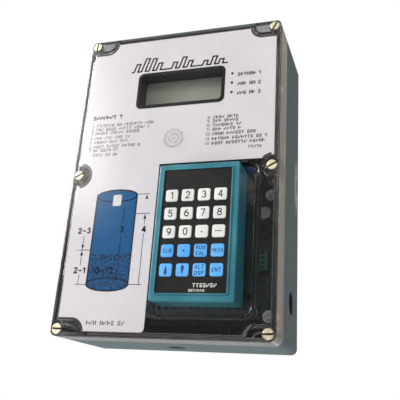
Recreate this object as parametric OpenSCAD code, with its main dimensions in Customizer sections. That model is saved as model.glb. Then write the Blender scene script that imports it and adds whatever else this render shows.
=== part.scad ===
// Ultrasonic level controller: a wall box with a deep clear lid, and a keypad handset that rests in
// a pocket of the lid. Every piece is drawn lying on its back, with x to the right, y up the front
// and z out from the wall, about the middle of the back face. stand() turns it upright.

/* [Box and lid] */
// Width of the box and its lid
body_w = 209; // [206:1:250]
// Height of the box and its lid
body_h = 312; // [310:1:360]
// Depth of the box, from the wall to the lid
box_d = 73; // [70:1:110]
// Depth of the clear lid
lid_d = 31; // [30:0.5:45]
// Radius of the corners, seen from the front
corner_r = 6.5; // [5:0.5:7]
// Thickness of the box's side walls
box_wall = 4; // [3.4:0.1:4.6]
// Thickness of the box's walls beside the corner wells
well_wall = 3.2; // [2.6:0.1:3.4]
// Thickness of the box's back wall
box_floor = 4; // [3:0.5:6]
// Rounding of the box's back edges
box_edge_r = 2.5; // [1:0.1:2.8]
// Thickness of the lid's front plate
lid_plate = 3.5; // [3:0.1:4.5]
// Thickness of the lid's skirt beside the corner wells
lid_wall = 3.2; // [2.4:0.1:3.4]
// Rounding of the lid's front edges
lid_edge_r = 1.2; // [0.4:0.1:1.4]

/* [Seal] */
// From the edge of the body to the middle of the seal
seal_inset = 3.4; // [3.2:0.1:3.6]
// Width of the groove for the gasket
groove_w = 2.4; // [1.8:0.1:2.6]
// Depth of the groove for the gasket
groove_d = 2.8; // [2.4:0.1:4]
// Height of the lid's tongue in the groove
tongue_h = 0.8; // [0.4:0.1:1.2]
// Play between the groove and what lies in it, on each side
groove_play = 0.1; // [0.05:0.05:0.2]
// Thickness of the lid's wall along the seal
seal_wall = 3; // [2.6:0.1:3.2]
// Width of the box's rim along the seal
rim_w = 4.4; // [4:0.1:4.8]
// Depth of the box's rim, before its wall gets thinner
rim_d = 9; // [6:0.5:16]
// Width of a corner well, from the body's side to the middle of the seal
well_w = 27.8; // [26:0.1:32]
// Height of a corner well, from the body's end to the middle of the seal
well_h = 13; // [12.8:0.1:16]
// Radius of the seal round a corner well
well_r = 8.5; // [5:0.5:9.5]
// Radius of the seal round the screws at mid height
mid_r = 9.1; // [8.8:0.1:10]

/* [Fixings of the box] */
// From the edge of the body to the middle of a lid screw
screw_inset = 6.6; // [6.5:0.1:7]
// Radius of the column round a lid screw
column_r = 6.3; // [6:0.1:6.8]
// Diameter of a lid screw's head
head_dia = 9.6; // [8.6:0.1:9.8]
// Height of a lid screw's head
head_h = 4; // [3:0.1:5]
// How far the heads stand out of the lid
head_proud = 0.6; // [0:0.1:1]
// Diameter of a lid screw's shank
shank_dia = 5.8; // [5:0.1:6]
// Length of a lid screw's shank
shank_l = 39; // [38:0.5:40]
// Play round a lid screw, on each side
screw_play = 0.2; // [0.1:0.05:0.3]
// Outer diameter of a threaded insert
insert_dia = 8.8; // [8.2:0.1:9.2]
// Length of a threaded insert
insert_l = 13; // [12:0.5:18]
// Diameter of the four holes for the wall screws
wall_hole_dia = 4.3; // [3.5:0.1:5.5]
// From the side of the body to the wall holes
wall_hole_inset = 18.5; // [16.5:0.1:22]
// Diameter of the cable entry in the right wall
side_entry_dia = 22; // [16:0.5:23]
// Height of the right wall's cable entry above the bottom of the box
side_entry_up = 43; // [38:0.5:60]
// Diameter of the cable entry in the bottom wall
bottom_entry_dia = 18; // [12:0.5:23]
// From the wall to the middle of both cable entries
entry_out = 36; // [30:0.5:44]

/* [Handset] */
// Width of the handset
handset_w = 77.6; // [76:0.2:80]
// Height of the handset
handset_h = 126.2; // [125:0.2:130]
// Thickness of the handset
handset_d = 28; // [27.5:0.1:34]
// Place of the handset to the right of the middle of the lid
handset_x = 33; // [30:0.5:34]
// From the bottom of the lid to the middle of the handset
handset_up = 93; // [92.5:0.1:94]
// Radius of the handset's corners
handset_r = 3; // [2.5:0.1:4]
// Rounding of the handset's front edges
handset_edge_r = 1.3; // [0.5:0.1:1.6]
// Thickness of the handset's walls
handset_wall = 2.2; // [2:0.1:2.4]
// From the handset's back to the joint between its shells
parting_up = 10; // [8:0.5:12]
// Height of the lap between the shells
lap_h = 1.5; // [1:0.1:2]
// Height of the bead round the keypad
bead_h = 0.8; // [0.4:0.1:1.2]
// Width of the bead round the keypad
bead_w = 1.5; // [1:0.1:2]

/* [Pocket in the lid] */
// Depth of the pocket
pocket_d = 15; // [13:0.5:18]
// Thickness of the pocket's walls
pocket_wall = 2.4; // [2:0.1:2.8]
// Thickness of the pocket's floor
pocket_floor = 3; // [2:0.1:3.4]
// Radius of the pocket's corners
pocket_r = 10; // [4:0.5:12]
// Room left of the handset
room_left = 4.6; // [4.3:0.1:6]
// Room right of the handset, for a finger
room_right = 11; // [9:0.5:11.5]
// Room above the handset
room_top = 5.2; // [4.4:0.1:5.4]
// Room below the handset
room_bottom = 9.6; // [8.5:0.1:9.8]

/* [Keypad] */
// Width of the keypad panel
panel_w = 64.5; // [63.6:0.1:66]
// Height of the keypad panel
panel_h = 113.3; // [106:0.1:115]
// Thickness of the keypad panel
panel_t = 1.6; // [1.2:0.1:1.8]
// Width of a key
key_w = 11.8; // [10:0.1:13.2]
// Height of a key
key_h = 11.5; // [9:0.1:14]
// Radius of a key's corners
key_r = 2; // [1:0.1:3]
// Distance between keys along a row
key_pitch_x = 15.4; // [15:0.1:15.6]
// Distance between rows of keys
key_pitch_y = 17.1; // [16:0.1:17.8]
// How far the keys stand out of the panel
key_proud = 0.7; // [0.6:0.05:1.2]
// Travel of a key
key_travel = 0.5; // [0.3:0.05:0.6]
// Play round a key, on each side
key_play = 0.2; // [0.1:0.05:0.3]
// Width of the lip under the panel that keeps a key in
key_lip = 0.7; // [0.5:0.05:0.9]

/* [Front panel and display] */
// Thickness of the printed front panel
overlay_t = 0.5; // [0.3:0.1:1]
// Radius of the front panel's corner beside the pocket
overlay_corner_r = 4; // [1:0.5:8]
// Gap between the front panel and the edge of the seal's wall
overlay_gap = 0.5; // [0.2:0.1:1.5]
// Width of the display's hood
hood_w = 91; // [80:0.5:94]
// Height of the display's hood
hood_h = 38.5; // [34:0.5:44]
// Depth of the display's hood
hood_d = 16.6; // [14:0.1:18]
// Wall of the display's hood
hood_wall = 1.6; // [1:0.1:2.5]
// Radius of the hood's corners
hood_r = 5; // [3:0.5:6]
// Place of the display to the right of the middle of the lid
display_x = 1; // [-1:0.5:3]
// From the top of the lid to the middle of the display
display_down = 65.2; // [64:0.1:68]
// Diameter of an alarm lamp
lamp_dia = 3; // [2.5:0.1:4]
// Distance between the alarm lamps
lamp_pitch = 10.5; // [8:0.1:12]

/* [Electronics] */
// Gap between the main circuit board and each side wall of the box
board_gap = 8; // [6:0.5:10]
// Gap between the main circuit board and the lower wall of the box
board_gap_low = 19.5; // [17:0.5:22]
// Gap between the main circuit board and the upper wall of the box
board_gap_high = 16.5; // [14:0.5:19]
// Thickness of both circuit boards
board_t = 1.6; // [1.2:0.1:2]
// Height of the pillars under the main board
pillar_h = 10.4; // [8:0.1:14]
// Width of the display's circuit board
display_board_w = 120; // [118:1:122]
// From the middle of the display to the upper edge of its circuit board
display_board_over = 37.2; // [36:0.1:40]
// From each side of the main board to the terminal strip, which has as many poles as fit between
strip_room = 20.5; // [20:0.5:24]

/* [Hidden] */
$fn = 48;

// A small gap between flat pieces that lie on each other
shim = 0.2;
// A cut runs this far past the face that it opens
past = 1;

// Heights above the wall
lid_z = box_d + lid_d;
pocket_z = lid_z - pocket_d;
overlay_z = lid_z - lid_plate - shim - overlay_t;
hood_z = overlay_z + overlay_t - hood_d;
board_z = box_floor + pillar_h;
board_top = board_z + board_t;

// Lid screws, from the bottom up, on the left and then on the right
screw_x = body_w / 2 - screw_inset;
screw_y = body_h / 2 - screw_inset;
screw_places = [for (x = [-1, 1], y = [-1, 0, 1]) [x * screw_x, y * screw_y]];
screw_turns = [0, 27, 86, 2, 28, 63];
slot_w = 1.6;
slot_d = 1.8;
insert_sunk = 0.5;

// Wall holes, at mid height of the corner wells
wall_hole_x = body_w / 2 - wall_hole_inset;
wall_hole_y = body_h / 2 - (well_wall + well_h - rim_w / 2) / 2;
bottom_entry_x = -4.5;

// Pocket outline
handset_y = handset_up - body_h / 2;
pocket_x0 = handset_x - handset_w / 2 - room_left;
pocket_x1 = handset_x + handset_w / 2 + room_right;
pocket_y0 = handset_y - handset_h / 2 - room_bottom;
pocket_y1 = handset_y + handset_h / 2 + room_top;

// Handset, with heights above its back
ledge_t = 1.2;
panel_play = 0.1;
panel_x = -0.6;
panel_y = 0.7;
keys_x = panel_x - 0.5;
keys_y = panel_y - 2.6;
columns = 4;
rows = 5;
panel_z = handset_d - panel_t;
plate_z = panel_z - ledge_t;
key_foot_w = key_w + 2 * key_lip;
key_foot_h = key_h + 2 * key_lip;
key_foot_t = 0.8;
key_foot_gap = 0.1;
key_foot_z = panel_z - key_foot_gap - key_foot_t;
dome_h = 0.4;
dome_r = 4.5;
stem_r = 3;
stem_l = 0.9;
pad_z = key_foot_z - stem_l - key_travel - key_foot_gap - dome_h;
pad_board_t = 1.6;
pad_board_w = 60;
pad_board_h = 104;
boss_r = 3.8;
boss_x = handset_w / 2 - handset_wall - 3.6;
boss_y = handset_h / 2 - handset_wall - 3.4;
boss_places = [for (x = [-1, 1], y = [-1, 1]) [x * boss_x, y * boss_y]];
post_places = [for (x = [-27, 27], y = [-48, 48]) [x, y]];
post_r = 2;
case_bore_r = 1.6;
case_pilot_r = 1.35;
case_screw_r = 1.25;
case_screw_l = 16;
case_head_r = 2.8;
case_head_h = 2;
case_sink = 3;
battery_w = 26.5;
battery_l = 48.5;
battery_d = 17.5;
battery_y = -3;
door_w = 31;
door_l = 53;
door_step = 1.5;
door_t = handset_wall / 2;
magnet_w = 56;
magnet_h = 12;
magnet_t = 2.5;
magnet_y = 38.5;
beam_y = 48.5;
beam_dia = 5;

// Display, on a board that reaches down to the infrared receiver
display_y = body_h / 2 - display_down;
receiver_edge = 5.5;
lcd_t = 2.8;
lcd_w = hood_w + 7;
lcd_h = hood_h + 11.5;
lcd_lip = 0.8;
lcd_frame_wall = 2;
lcd_frame_h = lcd_t + lcd_lip + 0.1;
display_top = hood_z - lcd_frame_h;
display_z = display_top - board_t;
display_board_x = display_x + 2.5;
display_board_y0 = handset_y + beam_y - receiver_edge;
display_board_y1 = display_y + display_board_over;
display_board_y = (display_board_y0 + display_board_y1) / 2;
display_board_h = display_board_y1 - display_board_y0;
standoff_x = display_board_w / 2 - 6;
standoff_y = display_board_h / 2 - 6;
standoff_places = [for (x = [-1, 1], y = [-1, 1])
    [display_board_x + x * standoff_x, display_board_y + y * standoff_y]];
standoff_r = 3.2;
lamp_x = display_x + 54.5;
lamp_y = display_y - 0.3;
lamp_places = [for (i = [-1, 0, 1]) [lamp_x, lamp_y + i * lamp_pitch]];
lamp_rim = 0.4;
lamp_rim_h = 1;
lamp_l = 4;
lamp_z = overlay_z - shim - lamp_l - lamp_rim_h;

// Main board
board_w = body_w - 2 * box_wall - 2 * board_gap;
board_y0 = box_wall + board_gap_low - body_h / 2;
board_y1 = body_h / 2 - box_wall - board_gap_high;
board_y = (board_y0 + board_y1) / 2;
board_h = board_y1 - board_y0;
board_play = 1;
pillar_r = 4;
m3_r = 1.45;
m3_hole_r = 1.6;
m3_head_r = 3;
m3_head_h = 2.2;
m3_l = 9;
washer_r = 6;
washer_t = 1;
board_screw_x = board_w / 2 - 13;
board_screw_y = board_h / 2 - 10;
board_screw_places = [for (x = [-1, 1], y = [-1, 0, 1])
    [x * board_screw_x, board_y + y * board_screw_y]];
pole_pitch = 8;
poles = floor((board_w - 2 * strip_room) / pole_pitch);
strip_y = board_y0 + 13.5;
strip_w = 18;
strip_h = 16;
strip_screw_r = 1.9;
strip_screw_h = 2.5;
strip_sink = 4;
header_at = [board_screw_x - 5.5, strip_y + 50];
header_pitch = 5.08;
header_t = 8.5;
upper_y = display_board_y + standoff_y;
transformer_at = [-55, upper_y - 42];
core_w = 57;
core_h = 48;
coil_w = 36;
coil_h = 31;
limb_w = 16;
limb_gap = 0.3;
core_t = 22;
core_up = 7;
coil_t = core_t + 2 * core_up;
fuse_at = [-60, upper_y - 84];
fuse_r = 2.5;
fuse_l = 20;
fuse_cap_l = 5;
fuse_up = 8.5;
fuse_base_w = 30;
fuse_base_h = 10;
fuse_base_t = 4;
fuse_clip_w = 4;
fuse_clip_h = 9;
relay_w = 28;
relay_h = 14;
relay_t = 22;
relay_places = [for (down = [16, 38, 60]) [30, upper_y - down]];
can_places = [[board_screw_x - 1.1, -25.6], [-8, upper_y - 26], [-8, upper_y - 50],
    [board_screw_x - 13.5, 20]];
can_radii = [6, 11, 8, 4];
can_heights = [26, 36, 28, 12];
chip_places = [[-20, 10], [-20, -12], [30, 20], [30, 4], [-58, -40], [-20, -45], [30, -60],
    [board_screw_x - 17.5, strip_y + 71], [board_screw_x - 17.5, strip_y + 27]];
chip_legs = [20, 14, 8, 8, 8, 14, 10, 8, 8];
chip_pitch = 2.54;
leg_span_wide = 15;
leg_span_narrow = 7.5;
trimmer_at = [board_screw_x - 19.5, 30];
film_at = [board_screw_x - 18.5, 8];
link_at = [-12, 36];
socket_w = 36;
socket_d = 9;
socket_h = 9;
ribbon_w = 33;
ribbon_t = 1;

// Outline of a rectangle with rounded corners, about its middle
module rounded(w, h, r) {
    square([w - 2 * r, h], center = true);
    square([w, h - 2 * r], center = true);
    for (x = [-1, 1], y = [-1, 1]) {
        translate([x * (w / 2 - r), y * (h / 2 - r)]) circle(r);
    }
}

// Section of a block that is rounded at its upper or its lower edges
module eased_section(w, z0, z1, low_r, high_r) {
    middle = (z0 + z1) / 2;
    translate([-w / 2, z0 + low_r]) square([w, z1 - high_r - z0 - low_r]);
    translate([low_r - w / 2, z0]) square([w - 2 * low_r, middle - z0]);
    translate([high_r - w / 2, middle]) square([w - 2 * high_r, z1 - middle]);
    for (x = [-1, 1]) {
        if (low_r > 0) {
            translate([x * (w / 2 - low_r), z0 + low_r]) circle(low_r);
        }
        if (high_r > 0) {
            translate([x * (w / 2 - high_r), z1 - high_r]) circle(high_r);
        }
    }
}

// Block with rounded corners, and with its lower or upper edges eased
module eased_block(w, h, r, z0, z1, low_r, high_r) {
    intersection() {
        level(z0, z1) rounded(w, h, r);
        rotate([90, 0, 0]) linear_extrude(h + 2 * past, center = true)
            eased_section(w, z0, z1, low_r, high_r);
        rotate([90, 0, 90]) linear_extrude(w + 2 * past, center = true)
            eased_section(h, z0, z1, low_r, high_r);
    }
}

// Raises an outline from one height to another
module level(z0, z1) {
    translate([0, 0, z0]) linear_extrude(z1 - z0) children();
}

// Puts a copy at each place of a list
module at_each(places) {
    for (place = places) {
        translate(place) children();
    }
}

// Turns a piece from lying on its back to standing upright
module stand() {
    rotate([90, 0, 0]) children();
}

// Puts a piece of the handset on the floor of the pocket
module in_pocket() {
    translate([handset_x, handset_y, pocket_z]) children();
}

// Corner wells, grown by t from the middle of the seal
module corner_wells(t) {
    for (x = [-1, 1], y = [-1, 1]) {
        translate([x * body_w / 2, y * body_h / 2])
            rounded(2 * (well_w + t), 2 * (well_h + t), well_r + t);
    }
}

// Area inside the seal, shrunk by t from the middle of the seal
module sealed(t) {
    inset = seal_inset + t;
    difference() {
        rounded(body_w - 2 * inset, body_h - 2 * inset, max(corner_r - inset, 0.5));
        corner_wells(t);
        for (x = [-1, 1]) {
            translate([x * screw_x, 0]) circle(mid_r + t);
        }
    }
}

// Band of a given width along the seal
module seal_band(w) {
    difference() {
        sealed(-w / 2);
        sealed(w / 2);
    }
}

// Hollow of the corner wells, inside a wall of the body and beside the screw columns
module well_hollows(wall, t) {
    difference() {
        intersection() {
            rounded(body_w - 2 * wall, body_h - 2 * wall, corner_r - wall);
            corner_wells(-t);
        }
        at_each(screw_places) circle(column_r);
    }
}

// Outline of the pocket, grown by t
module pocket_outline(t) {
    translate([(pocket_x0 + pocket_x1) / 2, (pocket_y0 + pocket_y1) / 2])
        rounded(pocket_x1 - pocket_x0 + 2 * t, pocket_y1 - pocket_y0 + 2 * t, pocket_r + t);
}

// Outline of the handset, shrunk by t
module handset_outline(t) {
    rounded(handset_w - 2 * t, handset_h - 2 * t, max(handset_r - t, 0.5));
}

module back_box() {
    color([0.39, 0.45, 0.47]) stand() difference() {
        union() {
            difference() {
                eased_block(body_w, body_h, corner_r, 0, box_d, box_edge_r, 0);
                level(box_floor, box_d - rim_d) sealed(box_wall - seal_inset);
                level(box_d - rim_d - past, box_d + past) sealed(rim_w / 2);
                level(box_floor, box_d + past) well_hollows(well_wall, rim_w / 2);
            }
            at_each(board_screw_places) cylinder(h = board_z, r = pillar_r);
        }
        level(box_d - groove_d, box_d + past) seal_band(groove_w);
        at_each(screw_places) insert_bore();
        at_each(board_screw_places) translate([0, 0, box_floor])
            cylinder(h = pillar_h + past, r = m3_hole_r);
        for (x = [-1, 1], y = [-1, 1]) {
            translate([x * wall_hole_x, y * wall_hole_y, -past])
                cylinder(h = box_floor + 2 * past, d = wall_hole_dia);
        }
        translate([body_w / 2 - 2 * box_wall, side_entry_up - body_h / 2, entry_out]) rotate([0, 90, 0])
            cylinder(h = 3 * box_wall, d = side_entry_dia);
        translate([bottom_entry_x, 2 * box_wall - body_h / 2, entry_out]) rotate([90, 0, 0])
            cylinder(h = 3 * box_wall, d = bottom_entry_dia);
    }
}

module insert_bore() {
    translate([0, 0, box_d - insert_sunk - insert_l])
        cylinder(h = insert_l + insert_sunk + past, d = insert_dia + 0.1);
}

module lid() {
    color([0.85, 0.88, 0.86, 0.4]) stand() difference() {
        union() {
            difference() {
                eased_block(body_w, body_h, corner_r, box_d, lid_z, 0, lid_edge_r);
                level(box_d - past, lid_z - lid_plate) sealed(seal_wall / 2);
                level(box_d - past, lid_z - lid_plate) well_hollows(lid_wall, seal_wall / 2);
            }
            level(pocket_z - pocket_floor, lid_z - lid_plate / 2) pocket_outline(pocket_wall);
            level(box_d - tongue_h, box_d + past) seal_band(groove_w - 8 * groove_play);
        }
        level(pocket_z, lid_z + past) pocket_outline(0);
        at_each(screw_places) lid_screw_hole();
    }
}

module lid_screw_hole() {
    translate([0, 0, box_d - past])
        cylinder(h = lid_d + 2 * past, d = shank_dia + 2 * screw_play);
    translate([0, 0, lid_z + head_proud - head_h])
        cylinder(h = head_h + past, d = head_dia + 2 * screw_play);
}

module lid_gasket() {
    color([0.16, 0.16, 0.16]) stand()
        level(box_d - groove_d, box_d - tongue_h) seal_band(groove_w - 2 * groove_play);
}

module lid_screws() {
    color([0.83, 0.8, 0.68]) stand() for (i = [0 : len(screw_places) - 1]) {
        translate(screw_places[i]) rotate([0, 0, screw_turns[i]]) lid_screw();
    }
}

module lid_screw() {
    head_z = lid_z + head_proud - head_h;
    difference() {
        union() {
            translate([0, 0, head_z]) cylinder(h = head_h, d = head_dia);
            translate([0, 0, head_z - shank_l]) cylinder(h = shank_l, d = shank_dia);
        }
        translate([-head_dia, -slot_w / 2, head_z + head_h - slot_d])
            cube([2 * head_dia, slot_w, slot_d + past]);
    }
}

module screw_inserts() {
    color([0.75, 0.6, 0.3]) stand() at_each(screw_places)
        translate([0, 0, box_d - insert_sunk - insert_l]) difference() {
            cylinder(h = insert_l, d = insert_dia);
            translate([0, 0, -past])
                cylinder(h = insert_l + 2 * past, d = shank_dia + 2 * screw_play);
        }
}

// What rounding a square corner at the origin takes away
module corner_waste(r) {
    difference() {
        translate([-past, -past]) square(r + past);
        translate([r, r]) circle(r);
    }
}

module front_overlay() {
    free_x = pocket_x0 - pocket_wall - 2 * shim;
    inset = seal_inset + seal_wall / 2 + overlay_gap;
    color([0.87, 0.86, 0.86]) stand() level(overlay_z, overlay_z + overlay_t) difference() {
        sealed(seal_wall / 2 + overlay_gap);
        translate([free_x, -body_h])
            square([body_w, body_h + pocket_y1 + pocket_wall + 2 * shim]);
        translate([free_x, inset - body_h / 2]) rotate(90) corner_waste(overlay_corner_r);
        translate([display_x, display_y])
            rounded(hood_w + 2 * shim, hood_h + 2 * shim, hood_r + shim);
        at_each(lamp_places) circle(d = lamp_dia - 0.2);
    }
}

module display_hood() {
    foot_t = 1.2;
    color([0.13, 0.13, 0.13]) stand() translate([display_x, display_y, hood_z]) difference() {
        union() {
            level(0, hood_d) rounded(hood_w, hood_h, hood_r);
            level(0, foot_t) rounded(lcd_w, lcd_h, hood_wall);
        }
        level(-past, hood_d + past)
            rounded(hood_w - 2 * hood_wall, hood_h - 2 * hood_wall, hood_r - hood_wall);
    }
}

module lcd_frame() {
    color([0.2, 0.2, 0.21]) stand() translate([display_x, display_y, display_top]) difference() {
        level(0, lcd_frame_h)
            rounded(lcd_w + 2 * lcd_frame_wall, lcd_h + 2 * lcd_frame_wall, 1.5);
        level(-past, lcd_frame_h - lcd_lip) rounded(lcd_w + 2 * shim, lcd_h + 2 * shim, 1);
        level(-past, lcd_frame_h + past) rounded(lcd_w - 6, lcd_h - 6, 1);
    }
}

module lcd_glass() {
    color([0.4, 0.42, 0.38]) stand() translate([display_x, display_y, display_top])
        level(0, lcd_t) rounded(lcd_w, lcd_h, 0.8);
}

module display_board() {
    color([0.12, 0.35, 0.2]) stand() difference() {
        translate([display_board_x, display_board_y])
            level(display_z, display_top) rounded(display_board_w, display_board_h, 2);
        at_each(standoff_places) translate([0, 0, display_z - past])
            cylinder(h = board_t + 2 * past, r = m3_hole_r);
    }
}

module display_standoffs() {
    color([0.75, 0.75, 0.72]) stand() at_each(standoff_places) difference() {
        translate([0, 0, board_top]) cylinder(h = display_z - board_top, r = standoff_r, $fn = 6);
        translate([0, 0, display_z - m3_l]) cylinder(h = m3_l + past, r = m3_hole_r);
    }
}

module alarm_lamps() {
    color([0.45, 0.05, 0.05]) stand() at_each(lamp_places) translate([0, 0, lamp_z]) {
        cylinder(h = lamp_rim_h, d = lamp_dia + 2 * lamp_rim);
        cylinder(h = lamp_rim_h + lamp_l - lamp_dia / 2, d = lamp_dia);
        translate([0, 0, lamp_rim_h + lamp_l - lamp_dia / 2]) sphere(d = lamp_dia);
    }
}

module lamp_spacers() {
    color([0.1, 0.1, 0.1]) stand() at_each(lamp_places) difference() {
        translate([0, 0, display_top])
            cylinder(h = lamp_z - display_top, d = lamp_dia + 2 * lamp_rim + 1);
        translate([0, 0, display_top - past])
            cylinder(h = lamp_z - display_top + 2 * past, d = lamp_dia - 1);
    }
}

module main_board() {
    color([0.1, 0.3, 0.18]) stand() difference() {
        translate([0, board_y]) level(board_z, board_top) rounded(board_w, board_h, 3);
        at_each(board_screw_places) translate([0, 0, board_z - past])
            cylinder(h = board_t + 2 * past, r = m3_hole_r);
        for (x = [-1, 1]) {
            translate([x * screw_x, 0, board_z - past])
                cylinder(h = board_t + 2 * past, r = mid_r + box_wall - seal_inset + board_play);
        }
    }
}

module board_screws() {
    color([0.78, 0.78, 0.76]) stand() {
        at_each(board_screw_places) pan_screw(board_top, washer_r);
        at_each(standoff_places) pan_screw(display_top, m3_head_r + 0.5);
    }
}

// Pan-head screw on its washer, which lies at a given height
module pan_screw(z, washer) {
    difference() {
        union() {
            translate([0, 0, z]) cylinder(h = washer_t, r = washer);
            translate([0, 0, z + washer_t]) cylinder(h = m3_head_h, r = m3_head_r);
            translate([0, 0, z + washer_t - m3_l]) cylinder(h = m3_l, r = m3_r);
        }
        for (turn = [0, 90]) {
            rotate([0, 0, turn]) translate([0, 0, z + washer_t + m3_head_h])
                cube([3.6, 0.8, 2.4], center = true);
        }
    }
}

module terminal_strip() {
    color([0.2, 0.21, 0.2]) stand() translate([0, strip_y, board_top]) difference() {
        level(0, strip_h) rounded(poles * pole_pitch, strip_w, 0.8);
        for (i = [0 : poles - 1]) {
            translate([(i - (poles - 1) / 2) * pole_pitch, 0, 0]) {
                translate([0, 1, strip_h - strip_sink])
                    cylinder(h = strip_sink + past, r = strip_screw_r + shim);
                translate([-2.6, -strip_w, 2.5]) cube([5.2, strip_w / 2 + 4, 6.5]);
            }
        }
    }
}

module terminal_screws() {
    color([0.7, 0.68, 0.6]) stand() for (i = [0 : poles - 1]) {
        translate([(i - (poles - 1) / 2) * pole_pitch, strip_y + 1, board_top + strip_h - strip_sink])
            rotate([0, 0, 37 * i]) difference() {
                cylinder(h = strip_screw_h, r = strip_screw_r);
                translate([-strip_w, -0.4, strip_screw_h - 0.8]) cube([2 * strip_w, 0.8, 2]);
            }
    }
}

module terminal_header() {
    color([0.15, 0.5, 0.25]) stand() translate([header_at[0], header_at[1], board_top]) difference() {
        level(0, header_t) rounded(2 * header_pitch, 4 * header_pitch, 0.6);
        for (i = [-1.5 : 1.5]) {
            translate([0, i * header_pitch, header_t - 3.5]) cylinder(h = 3.5 + past, d = 3.4);
        }
    }
}

module transformer_core() {
    window_w = 15.5;
    window_h = 32;
    color([0.25, 0.25, 0.26]) stand()
        translate([transformer_at[0], transformer_at[1], board_top + core_up]) difference() {
            level(0, core_t) rounded(core_w, core_h, 1);
            for (x = [-1, 1]) {
                translate([x * (limb_w + window_w) / 2, 0]) level(-past, core_t + past)
                    square([window_w, window_h], center = true);
            }
        }
}

module transformer_coil() {
    color([0.75, 0.6, 0.25]) stand()
        translate([transformer_at[0], transformer_at[1], board_top]) difference() {
            level(0, coil_t) rounded(coil_w, coil_h, 3);
            translate([-limb_w / 2 - limb_gap, -coil_h, core_up - 0.02])
                cube([limb_w + 2 * limb_gap, 2 * coil_h, core_t + limb_gap]);
        }
}

module relays() {
    color([0.12, 0.12, 0.13]) stand() at_each(relay_places)
        eased_block(relay_w, relay_h, 1, board_top, board_top + relay_t, 0, 0.8);
}

module fuse_holder() {
    color([0.2, 0.2, 0.2]) stand() translate([fuse_at[0], fuse_at[1], board_top]) difference() {
        union() {
            level(0, fuse_base_t) rounded(fuse_base_w, fuse_base_h, 1);
            for (x = [-1, 1]) {
                translate([x * (fuse_l - fuse_clip_w) / 2, 0]) level(0, fuse_up + 2)
                    square([fuse_clip_w, fuse_clip_h], center = true);
            }
        }
        translate([-fuse_l, 0, fuse_up]) rotate([0, 90, 0]) cylinder(h = 2 * fuse_l, r = fuse_r + 0.4);
        translate([-fuse_l, -1.8, fuse_up]) cube([2 * fuse_l, 3.6, fuse_up]);
    }
}

module fuse() {
    color([0.8, 0.82, 0.82]) stand()
        translate([fuse_at[0] - fuse_l / 2, fuse_at[1], board_top + fuse_up]) rotate([0, 90, 0]) {
            cylinder(h = fuse_l, r = fuse_r);
            for (x = [0, fuse_l - fuse_cap_l]) {
                translate([0, 0, x]) cylinder(h = fuse_cap_l, r = fuse_r + 0.25);
            }
        }
}

module capacitors() {
    color([0.2, 0.22, 0.3]) stand() for (i = [0 : len(can_places) - 1]) {
        translate([can_places[i][0], can_places[i][1], board_top])
            capacitor(can_radii[i], can_heights[i]);
    }
}

// Upright can with a crimp near its foot and a scored top
module capacitor(r, h) {
    difference() {
        cylinder(h = h, r = r);
        rotate_extrude() translate([r + 0.7, 2.6]) circle(1.2);
        for (turn = [0, 90]) {
            rotate([0, 0, turn]) translate([0, 0, h]) cube([1.4 * r, 0.5, 0.6], center = true);
        }
    }
}

module chips() {
    color([0.11, 0.11, 0.12]) stand() for (i = [0 : len(chip_places) - 1]) {
        translate(chip_places[i]) rotate([0, 0, i > 6 ? 90 : 0])
            chip(chip_legs[i], chip_legs[i] > 12 ? leg_span_wide : leg_span_narrow);
    }
}

// Chip with two rows of legs, n in a row, that stand w apart
module chip(n, w) {
    level(board_top + 0.6, board_top + 4.2) rounded(n * chip_pitch, w - 1.4, 0.3);
    for (i = [0 : n - 1], y = [-1, 1]) {
        translate([(i - (n - 1) / 2) * chip_pitch, y * (w / 2 - 0.5), board_top + 1.2])
            cube([0.6, 1.2, 2.4], center = true);
    }
}

module trimmer() {
    color([0.25, 0.4, 0.8]) stand() translate([trimmer_at[0], trimmer_at[1], board_top]) difference() {
        level(0, 4.8) rounded(9.6, 9.6, 0.4);
        translate([0, 0, 4]) cylinder(h = 2, d = 5);
    }
}

module film_capacitor() {
    color([0.55, 0.22, 0.15]) stand()
        translate(film_at) eased_block(11, 5.5, 1.2, board_top, board_top + 8.5, 0, 0.8);
}

module infrared_receiver() {
    color([0.1, 0.1, 0.12]) stand() translate([handset_x, handset_y + beam_y, display_top]) {
        level(0, 2.8) rounded(6, 7, 0.5);
        translate([0, 0, 2.8]) intersection() {
            sphere(r = 2.2);
            cylinder(h = 3, r = 3);
        }
    }
}

module board_link() {
    color([0.5, 0.5, 0.5]) stand() translate(link_at) {
        level(board_top, board_top + socket_h) rounded(socket_w, socket_d, 0.5);
        level(display_z - socket_h, display_z) rounded(socket_w, socket_d, 0.5);
        level(board_top + socket_h - past, display_z - socket_h + past)
            square([ribbon_w, ribbon_t], center = true);
    }
}

module keeper_plates() {
    keeper_t = 1.5;
    color([0.6, 0.62, 0.62]) stand() for (y = [-1, 1]) {
        translate([handset_x, handset_y + y * magnet_y, 0])
            level(pocket_z - pocket_floor - keeper_t, pocket_z - pocket_floor)
                rounded(magnet_w, magnet_h, 1.5);
    }
}

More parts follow.
